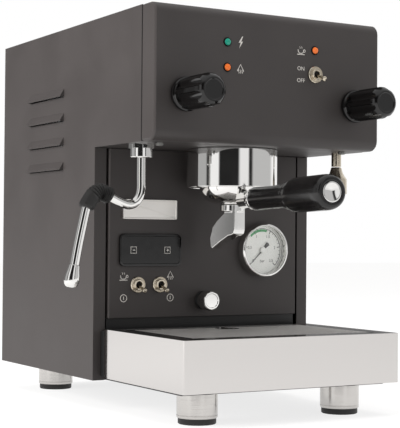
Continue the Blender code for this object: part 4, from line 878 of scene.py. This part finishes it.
def make_toggles():
    """A nickel bushing with its nut flat on the face, and a slim lever that ends in a ball."""
    low, _, (x, _, z) = centred("power_toggle_bushing")
    proud, face = -low.y, 0.3
    rings = [
        (5.2, -6), (5.2, face - 0.1), (8.0, face), (8.2, face + 0.4), (8.2, 1.6), (7.8, 2.1),
        (7.2, 2.2), (7.0, 1.9), (6.5, 1.9), (6.3, 2.3), (5.6, 2.4), (5.4, 2.7), (5.4, proud - 0.5),
        (5.0, proud), (3.7, proud), (3.3, proud - 0.5), (3.3, -2.5),
    ]
    bushing = smooth(turned("bushing", rings, (x, 0, z), OUT, sides=64), 35)
    # A dark plug fills the bushing's bore: painted shade where the hole goes deep
    bore = turned("bore", [(3.2, -2.4), (3.2, proud - 2.6)], (x, 0, z), OUT, sides=32)
    editing(bore)
    choose(bore, "faces", faces_front)
    sink(1.7, 1.2)
    done()
    pivot, droop = (x, -1, z), math.radians(20)
    direction = Vector((0, -math.cos(droop), -math.sin(droop)))
    stick = [
        (0.9, 0.6), (1.25, 1.4), (1.3, 4), (1.45, 8), (1.7, 12), (2.0, 13.4), (2.45, 14.8), (2.6, 15.8),
        (2.4, 16.7), (1.6, 17.3), (0.5, 17.45),
    ]
    lever = smooth(turned("lever", stick, pivot, direction, sides=40), 60)
    for name in ("power", "brew", "steam"):
        place = middle(f"{name}_toggle_bushing")
        face_shift = span(f"{name}_toggle_bushing")[0].y - low.y
        shift = (place.x - x, face_shift, place.z - z)
        fit(copied(bushing, f"{name}_switch_bushing", shift), "machine", "chrome",
            f"{name}_toggle_bushing", finish=NICKEL)
        fit(copied(bore, f"{name}_switch_bore_shade", shift), "machine", "black_plastic", finish=BORE_SHADE)
        fit(copied(lever, f"{name}_switch_lever", shift), f"{name}_lever", "chrome",
            f"{name}_toggle_lever", finish=NICKEL)
    for spare in (bushing, bore, lever):
        bpy.data.objects.remove(spare)


def make_lamps():
    """Faceted lenses, each in a thin black ring."""
    for name in ("lamp_power", "lamp_steam", "lamp_brew"):
        place = middle(name)
        base, reach = (place.x, 0, place.z), -span(name)[0].y
        slot = "green_lens" if name == "lamp_power" else "orange_lens"
        rings = [(3.3, -3), (3.3, 0.4), (3.2, 1.0), (2.6, 1.9), (1.4, reach - 0.1), (0.4, reach)]
        fit(turned(f"{name}_lens", rings, base, OUT, sides=10), "machine", slot, name)
        rings = [(3.4, -1), (4.0, -1), (4.0, 0.5), (3.8, 0.8), (3.5, 0.8), (3.4, 0.6)]
        fit(smooth(turned(f"{name}_ring", rings, base, OUT, sides=40, closed=True)), "machine",
            "black_gloss")


# Printed marks: a line or an outline in flat ink that stands a hair off its face


def flat(name, outlines, y, depth=0.06):
    """Closed outlines seen from the front, (x, z) in millimetres, filled and facing forward."""
    curve = bpy.data.curves.new(name, "CURVE")
    curve.dimensions = "2D"
    curve.fill_mode = "BOTH"
    curve.extrude = depth / 2 * MM
    for outline in outlines:
        spline = curve.splines.new("POLY")
        spline.points.add(len(outline) - 1)
        spline.use_cyclic_u = True
        for point, (px, pz) in zip(spline.points, outline):
            point.co = (px * MM, pz * MM, 0, 1)
    return stood_up(as_mesh(linked(name, curve)), name, y)


def stood_up(obj, name, y, x=0.0, z=0.0):
    """Turns a flat piece to face forward and puts its place in its mesh."""
    obj.rotation_euler = (math.pi / 2, 0, 0)
    obj.location = at(x, y, z)
    only(obj)
    return named(name)


def lettering(name, text, height, x, y, z, depth=0.06):
    bpy.ops.object.select_all(action="DESELECT")
    bpy.ops.object.text_add()
    label = bpy.context.object
    label.data.body = text
    label.data.size = height * 1.38 * MM
    label.data.extrude = depth / 2 * MM
    label.data.align_x, label.data.align_y = "CENTER", "CENTER"
    return stood_up(as_mesh(label), name, y, x, z)


def arc(x, z, radius, start, end, steps=24):
    """Points on an arc, angles in degrees from straight right, against the clock."""
    turns = [math.radians(start + (end - start) * i / steps) for i in range(steps + 1)]
    return [(x + radius * math.cos(t), z + radius * math.sin(t)) for t in turns]


def band(x, z, inner, outer, start, end, steps=24):
    return arc(x, z, inner, start, end, steps) + arc(x, z, outer, end, start, steps)


def hoop(x, z, inner, outer):
    return [arc(x, z, outer, 0, 345, 23), arc(x, z, inner, 345, 0, 23)]


def stroke(points, width):
    """The outline of a line of even width through (x, z) points."""
    left, right = [], []
    for i, (px, pz) in enumerate(points):
        ax, az = points[max(i - 1, 0)]
        bx, bz = points[min(i + 1, len(points) - 1)]
        run = math.hypot(bx - ax, bz - az)
        nx, nz = -(bz - az) / run * width / 2, (bx - ax) / run * width / 2
        left.append((px + nx, pz + nz))
        right.append((px - nx, pz - nz))
    return left + right[::-1]


def bolt_sign(x, z):
    return [[(x + a, z + b) for a, b in
             ((1.6, 5.6), (-2.4, -0.6), (0.0, -0.2), (-1.5, -5.8), (2.6, 0.9), (0.4, 0.6), (2.6, 5.6))]]


def steam_sign(x, z):
    """A triangle of two sides with three rising waves under it."""
    lines = [stroke([(x - 3.6, z - 2.4), (x, z + 4.2), (x + 3.6, z - 2.4)], 0.8)]
    for step in (-1, 0, 1):
        wave = [(x + step * 1.9 + 0.45 * math.sin(t * 1.6), z - 4.4 + t * 0.9) for t in range(5)]
        lines.append(stroke(wave, 0.55))
    return lines


def cup_sign(x, z):
    """A cup with its handle on a saucer, and two waves over it."""
    bowl = [
        (x - 3.6, z + 0.8), (x - 3.2, z - 1.4), (x - 1.9, z - 2.8), (x + 1.3, z - 2.8),
        (x + 2.6, z - 1.4), (x + 3.0, z + 0.8),
    ]
    outlines = [stroke(bowl, 0.7), stroke([(x - 4.6, z - 3.9), (x + 4.2, z - 3.9)], 0.7)]
    outlines.append(stroke(arc(x + 3.6, z - 0.3, 1.3, 110, -110, 10), 0.6))
    for step in (-1, 0.6):
        wave = [(x + step * 1.4 + 0.4 * math.sin(t * 1.6), z + 1.6 + t * 0.7) for t in range(4)]
        outlines.append(stroke(wave, 0.5))
    return outlines


def lamp_sign(x, z):
    """A small circle with an upright bar in it."""
    return hoop(x, z, 3.2, 3.9) + [stroke([(x, z - 1.7), (x, z + 1.7)], 0.8)]


def make_marks():
    """The printed signs beside the lamps and switches: mark, its outlines, the face it is printed on."""
    off_face = 0.08
    face, column = -off_face, span("service_panel")[0].y - off_face
    lamp, power = middle("lamp_power"), middle("power_toggle_bushing")
    steam, brew = middle("lamp_steam"), middle("lamp_brew")
    marks = [
        ("power", bolt_sign(lamp.x + 14.5, lamp.z + 0.8), face),
        ("steam", steam_sign(steam.x + 14.5, steam.z - 0.5), face),
        ("brew", cup_sign(brew.x - 16.4, brew.z - 1.2), face),
    ]
    for name, sign, aside, lift in (("brew", cup_sign, -15.5, 10.0), ("steam", steam_sign, 12.4, 10.6)):
        switch = middle(f"{name}_toggle_bushing")
        marks.append((f"{name}_switch", sign(switch.x + aside, switch.z + lift - 1.4), column))
        marks.append((f"{name}_lamp", lamp_sign(switch.x + aside, switch.z - 13.3), column))
    for name, outlines, y in marks:
        fit(flat(f"mark_{name}", outlines, y), "machine", "print_grey")
    for text, drop in (("ON", -4.8), ("OFF", 6.7)):
        word = lettering(f"mark_{text.lower()}", text, 3.9, power.x - 16.4, face, power.z - drop)
        fit(word, "machine", "print_grey")


# Service panel


def make_display():
    low, high = span("display_housing")
    front = low.y
    housing = plaque("display_bezel", low, (high.x, low.y + 3, high.z), 5, 8)
    bpy.ops.mesh.bevel(offset=0.5 * MM, segments=2)
    choose(housing, "faces", lambda f: f.normal.y < -0.99)
    bpy.ops.mesh.inset(thickness=1.6 * MM)
    sink(0.5, 0.35)
    done()
    pockets = []
    for node in ("key_minus", "key_plus"):
        key_low, key_high = span(node)
        near = (key_low.x - 0.3, front - 1, key_low.z - 0.3)
        far = (key_high.x + 0.3, front + 2.3, key_high.z + 0.3)
        pockets.append(cuboid(f"pocket_{node}", near, far))
    fit(smooth(carve(housing, *pockets), 30), "machine", "black_gloss", "display_housing")
    for name, upright in (("minus", False), ("plus", True)):
        node = f"key_{name}"
        key = middle(node)
        key_low, key_high = span(node)
        cap = plaque(f"{name}_key_cap", key_low, key_high, 0.8, 3)
        sink(0.5, 0.15)
        done()
        fit(smooth(cap), f"{name}_key", "black_gloss", node)
        lines = [stroke([(key.x - 1.4, key.z), (key.x + 1.4, key.z)], 0.7)]
        if upright:
            lines += [stroke([(key.x, key.z + 0.36), (key.x, key.z + 1.4)], 0.7),
                      stroke([(key.x, key.z - 1.4), (key.x, key.z - 0.36)], 0.7)]
        fit(flat(f"{name}_key_sign", lines, key_low.y + 0.12), f"{name}_key", "print_grey")
        half = (key_high.x - key_low.x) / 2 + 0.9
        corners = ((-1, -1), (1, -1), (1, 1), (-1, 1))
        outer = [(key.x + sx * half, key.z + sz * half) for sx, sz in corners]
        inner = [(key.x + sx * (half - 0.5), key.z + sz * (half - 0.5)) for sx, sz in reversed(corners)]
        fit(flat(f"{name}_key_frame", [outer, inner], front + 0.31), "machine", "print_grey")


def make_name_plate():
    """A cast plate: a narrow raised rim round a blank field."""
    plate = plaque("blank_plate", *span("name_plate"), 1.2, 3)
    bpy.ops.mesh.inset(thickness=1.1 * MM)
    sink(0.35, 0.7)
    done()
    fit(smooth(plate, 30), "machine", "brushed_steel", "name_plate", finish=CAST_NICKEL)


def make_gauge():
    low, high, (x, _, z) = centred("gauge_case")
    face = span("service_panel")[0].y
    proud, radius, wall = face - low.y, (high.x - low.x) / 2, 3.5
    inner, dial = radius - wall, 3.0
    base = (x, face, z)
    rings = [
        (inner - 0.4, -26), (inner - 0.4, 0.3), (radius - 0.6, 0.3), (radius, 1.0),
        (radius, proud - 3.2), (radius - 0.4, proud - 1.4), (radius - 1.2, proud - 0.4),
        (radius - 2.0, proud), (inner + 0.6, proud - 0.1), (inner, proud - 0.8),
        (inner - 0.2, proud - 2.4), (inner - 0.2, dial - 0.2), (1, dial - 0.2),
    ]
    fit(smooth(turned("gauge_shell", rings, base, OUT, sides=128), 35), "machine", "chrome", "gauge_case")
    plate = turned("gauge_dial", [(inner - 0.5, dial - 0.15), (inner - 0.5, dial + 0.15)], base, OUT,
        sides=96)
    editing(plate)
    choose(plate, "faces", faces_front)
    sink(0.6, -0.1)
    done()
    fit(smooth(plate), "machine", "white_dial")
    ink = face - dial - 0.32

    # Scale from 0 at half past seven to 2.5 at half past four
    start, sweep, tops = 225, -270, 25
    ticks = []
    for i in range(tops + 1):
        turn = start + sweep * i / tops
        long = i % 5 == 0
        ends = [arc(x, z, r, turn, turn, 1)[0] for r in (inner - (6.2 if long else 4.4), inner - 2.4)]
        ticks.append(stroke(ends, 0.8 if long else 0.4))
    fit(flat("gauge_scale", ticks, ink), "machine", "black_plastic", finish=DIAL_INK)
    fit(flat("gauge_scale_line", [band(x, z, inner - 2.6, inner - 2.0, start, start + sweep, 60)], ink),
        "machine", "black_plastic", finish=DIAL_INK)
    green = band(x, z, inner - 5.6, inner - 3.0, 135, 75)
    fit(flat("gauge_green_band", [green], ink), "machine", "black_plastic", finish=DIAL_GREEN)
    numbers = []
    for i, text in enumerate(("0", "0.5", "1", "1.5", "2", "2.5")):
        px, pz = arc(x, z, inner - 9.2, start + sweep * i / 5, start, 1)[0]
        numbers.append(lettering(f"number_{i}", text, 3.1, px, ink, pz))
    numbers.append(lettering("unit", "bar", 3.2, x, ink, z - 11.5))
    fit(gather("gauge_numbers", numbers), "machine", "black_plastic", finish=DIAL_INK)

    blade_y = ink - 1.0
    pointing = math.radians(start)
    ux, uz = math.cos(pointing), math.sin(pointing)

    def on(along, across):
        return (x + ux * along - uz * across, z + uz * along + ux * across)

    blade = [
        on(0, 0.7), on(inner * 0.76, 0.16), on(inner * 0.76, -0.16), on(0, -0.7), on(-6, -1.5),
        on(-9.5, -2.2), on(-10.2, 0), on(-9.5, 2.2), on(-6, 1.5),
    ]
    fit(flat("gauge_pointer", [blade], blade_y, 0.4), "needle", "black_plastic", "gauge_needle",
        finish=DIAL_INK)
    hub = turned("gauge_hub", [(3.3, 0), (3.3, 0.9), (2.9, 1.3), (1.2, 1.5)], (x, blade_y - 0.2, z),
        OUT, sides=40)
    fit(smooth(hub), "needle", "white_dial")
    rings = [(inner - 0.3, proud - 3.6), (inner - 0.3, proud - 2.6), (inner - 1.2, proud - 2.4)]
    glass = turned("gauge_glass", rings, base, OUT, sides=96)
    fit(smooth(glass), "machine", "gauge_glass")


def make_regulator():
    """A turned knob with an upright knurl over a smooth collar."""
    low, high, (x, _, z) = centred("regulator_knob")
    face = span("service_panel")[0].y
    far = face - low.y
    radius = (high.x - low.x) / 2
    rings = [
        (4, -13), (4, 3), (8.4, 3), (8.6, 5.6), (9.2, 6.6), (radius, 7.4), (radius, far - 1.4),
        (radius - 0.5, far - 0.5), (radius - 1.4, far), (radius - 2.6, far), (radius - 3.1, far - 0.5),
    ]
    sides = 96
    knob = turned("regulator_grip", rings, (x, face, z), OUT, sides=sides)
    editing(knob)
    axis = at(x, 0, z)

    def on_groove(v):
        turn = math.atan2(v.co.z - axis.z, v.co.x - axis.x) / math.tau * sides
        reach = math.hypot(v.co.x - axis.x, v.co.z - axis.z)
        return round(turn) % 2 and reach > (radius - 0.8) * MM

    choose(knob, "verts", on_groove)
    bpy.ops.transform.resize(value=(0.945, 1, 0.945), center_override=axis)
    done()
    fit(smooth(knob, 25), "regulator", "chrome", "regulator_knob")
    collar = turned("regulator_collar", [(5, 0.1), (8.8, 0.1), (9.2, 0.6), (9.2, 2.2), (8.7, 2.7), (5, 2.7)],
                    (x, face, z), OUT, sides=64, closed=True)
    fit(smooth(collar), "machine", "black_plastic")


# Top and back


def make_top_and_back():
    fit(from_node("tank_lid", "lid_plate", 0.6), "lid", "black_plastic", "tank_lid")
    fit(from_node("water_tank", "tank_shell", 0.8), "tank", "tank_plastic", "water_tank")
    fit(from_node("power_inlet", "mains_inlet", 0.4), "machine", "black_plastic", "power_inlet")


make_casing()
make_screws()
make_feet()
make_tray()
make_grid()
make_group()
make_portafilter()
make_handle()
make_spout()
make_steam_wand()
make_hot_water()
make_knobs()
make_toggles()
make_lamps()
make_marks()
make_display()
make_name_plate()
make_gauge()
make_regulator()
make_top_and_back()


# Studio


def make_floor():
    """Paper that glows a little, so that it comes out white, and reaches past every view."""
    bpy.ops.object.select_all(action="DESELECT")
    bpy.ops.mesh.primitive_plane_add(size=1)
    floor = bpy.context.object
    floor.name = "studio_floor"
    floor.scale = (14, 14, 1)
    glow = {"Emission_Color": (1, 1, 1, 1), "Emission_Strength": 0.78}
    floor.data.materials.append(plain("studio_paper", "8c8b8a", 0.9, Specular_IOR_Level=0.0, **glow))


# What a chrome surface sees round the room: (degrees to the right of the camera's side, brightness)
ROOM = (
    (-180, 0.2), (-112, 0.2), (-108, 0.5), (-70, 0.5), (-66, 0.03), (-59, 0.03), (-56, 1.1), (-36, 1.1),
    (-32, 0.02), (14, 0.02), (20, 1.0), (40, 1.0), (43, 0.03), (49, 0.03), (54, 0.62), (110, 0.62),
    (120, 1.1), (158, 1.1), (165, 0.2), (180, 0.2),
)
CAMERA_SIDE = math.radians(-120.4)


def make_room():
    """A white backdrop with dark and bright upright bands for the metal to mirror."""
    world = bpy.data.worlds.new("studio")
    bpy.context.scene.world = world
    world.use_nodes = True
    tree = world.node_tree
    background = tree.nodes["Background"]
    way = add(tree, "ShaderNodeTexCoord")
    turned_way = add(tree, "ShaderNodeMapping", [("Vector", way, "Generated")],
        Rotation=(0, 0, -CAMERA_SIDE))
    parts = add(tree, "ShaderNodeSeparateXYZ", [("Vector", turned_way, "Vector")])
    angle = add(tree, "ShaderNodeMath", operation="ARCTAN2")
    tree.links.new(parts.outputs["Y"], angle.inputs[0])
    tree.links.new(parts.outputs["X"], angle.inputs[1])
    share = add(tree, "ShaderNodeMapRange", [("Value", angle, "Value")], From_Min=-math.pi, From_Max=math.pi)
    bands = add(tree, "ShaderNodeValToRGB", [("Fac", share, "Result")])
    ramp = bands.color_ramp
    for number, (degrees, bright) in enumerate(ROOM):
        place = (degrees + 180) / 360
        stop = ramp.elements[number] if number < 2 else ramp.elements.new(place)
        stop.position = place
        stop.color = (bright, bright, bright, 1)
    # High up the bands give way to one even pale ceiling
    lift = add(tree, "ShaderNodeMapRange", [("Value", parts, "Z")], From_Min=0.55, From_Max=0.8)
    ceiling = add(tree, "ShaderNodeMix", data_type="RGBA")
    tree.links.new(lift.outputs["Result"], ceiling.inputs[0])
    tree.links.new(bands.outputs["Color"], ceiling.inputs[6])
    ceiling.inputs[7].default_value = (0.9, 0.9, 0.9, 1)
    # The camera itself sees plain white behind the machine
    seen = add(tree, "ShaderNodeLightPath")
    shown = add(tree, "ShaderNodeMix", data_type="RGBA")
    tree.links.new(seen.outputs["Is Camera Ray"], shown.inputs[0])
    tree.links.new(ceiling.outputs[2], shown.inputs[6])
    shown.inputs[7].default_value = (1, 1, 1, 1)
    tree.links.new(shown.outputs[2], background.inputs["Color"])
    background.inputs["Strength"].default_value = 1.0


def softbox(name, place, target, size, power):
    light = bpy.data.lights.new(name, "AREA")
    light.shape = "RECTANGLE"
    light.size, light.size_y = size
    light.energy = power
    holder = linked(name, light)
    holder.location = place
    holder.visible_glossy = False
    holder.rotation_mode = "QUATERNION"
    holder.rotation_quaternion = (Vector(target) - Vector(place)).to_track_quat("-Z", "Y")


def make_lights():
    softbox("key_left", at(-1700, 150, 700), at(0, 200, 220), (0.7, 1.2), 46)
    softbox("fill_front", at(900, -1700, 700), at(0, 100, 200), (0.5, 1.4), 7)
    softbox("top", at(0, 200, 1900), at(0, 100, 200), (1.6, 1.6), 20)


def make_camera():
    """A long lens at the front left, a little below half height, looking slightly up."""
    yaw, pitch, roll = math.radians(-30.4), math.radians(1.16), math.radians(0.47)
    forward = Vector((-math.sin(yaw) * math.cos(pitch), math.cos(yaw) * math.cos(pitch), math.sin(pitch)))
    level = Vector((math.cos(yaw), math.sin(yaw), 0))
    up = level.cross(forward)
    right = level * math.cos(roll) + up * math.sin(roll)
    upright = up * math.cos(roll) - level * math.sin(roll)
    camera = bpy.data.cameras.new("camera")
    camera.lens = 108.48
    camera.sensor_width = 36
    camera.clip_end = 50
    holder = linked("camera", camera)
    turn = Matrix((right, upright, -forward)).transposed().to_4x4()
    holder.matrix_world = Matrix.Translation(at(-679.6, -1024.0, 167.8)) @ turn
    bpy.context.scene.camera = holder


make_floor()
make_room()
make_lights()
make_camera()

view = bpy.context.scene.view_settings
view.view_transform = "Standard"
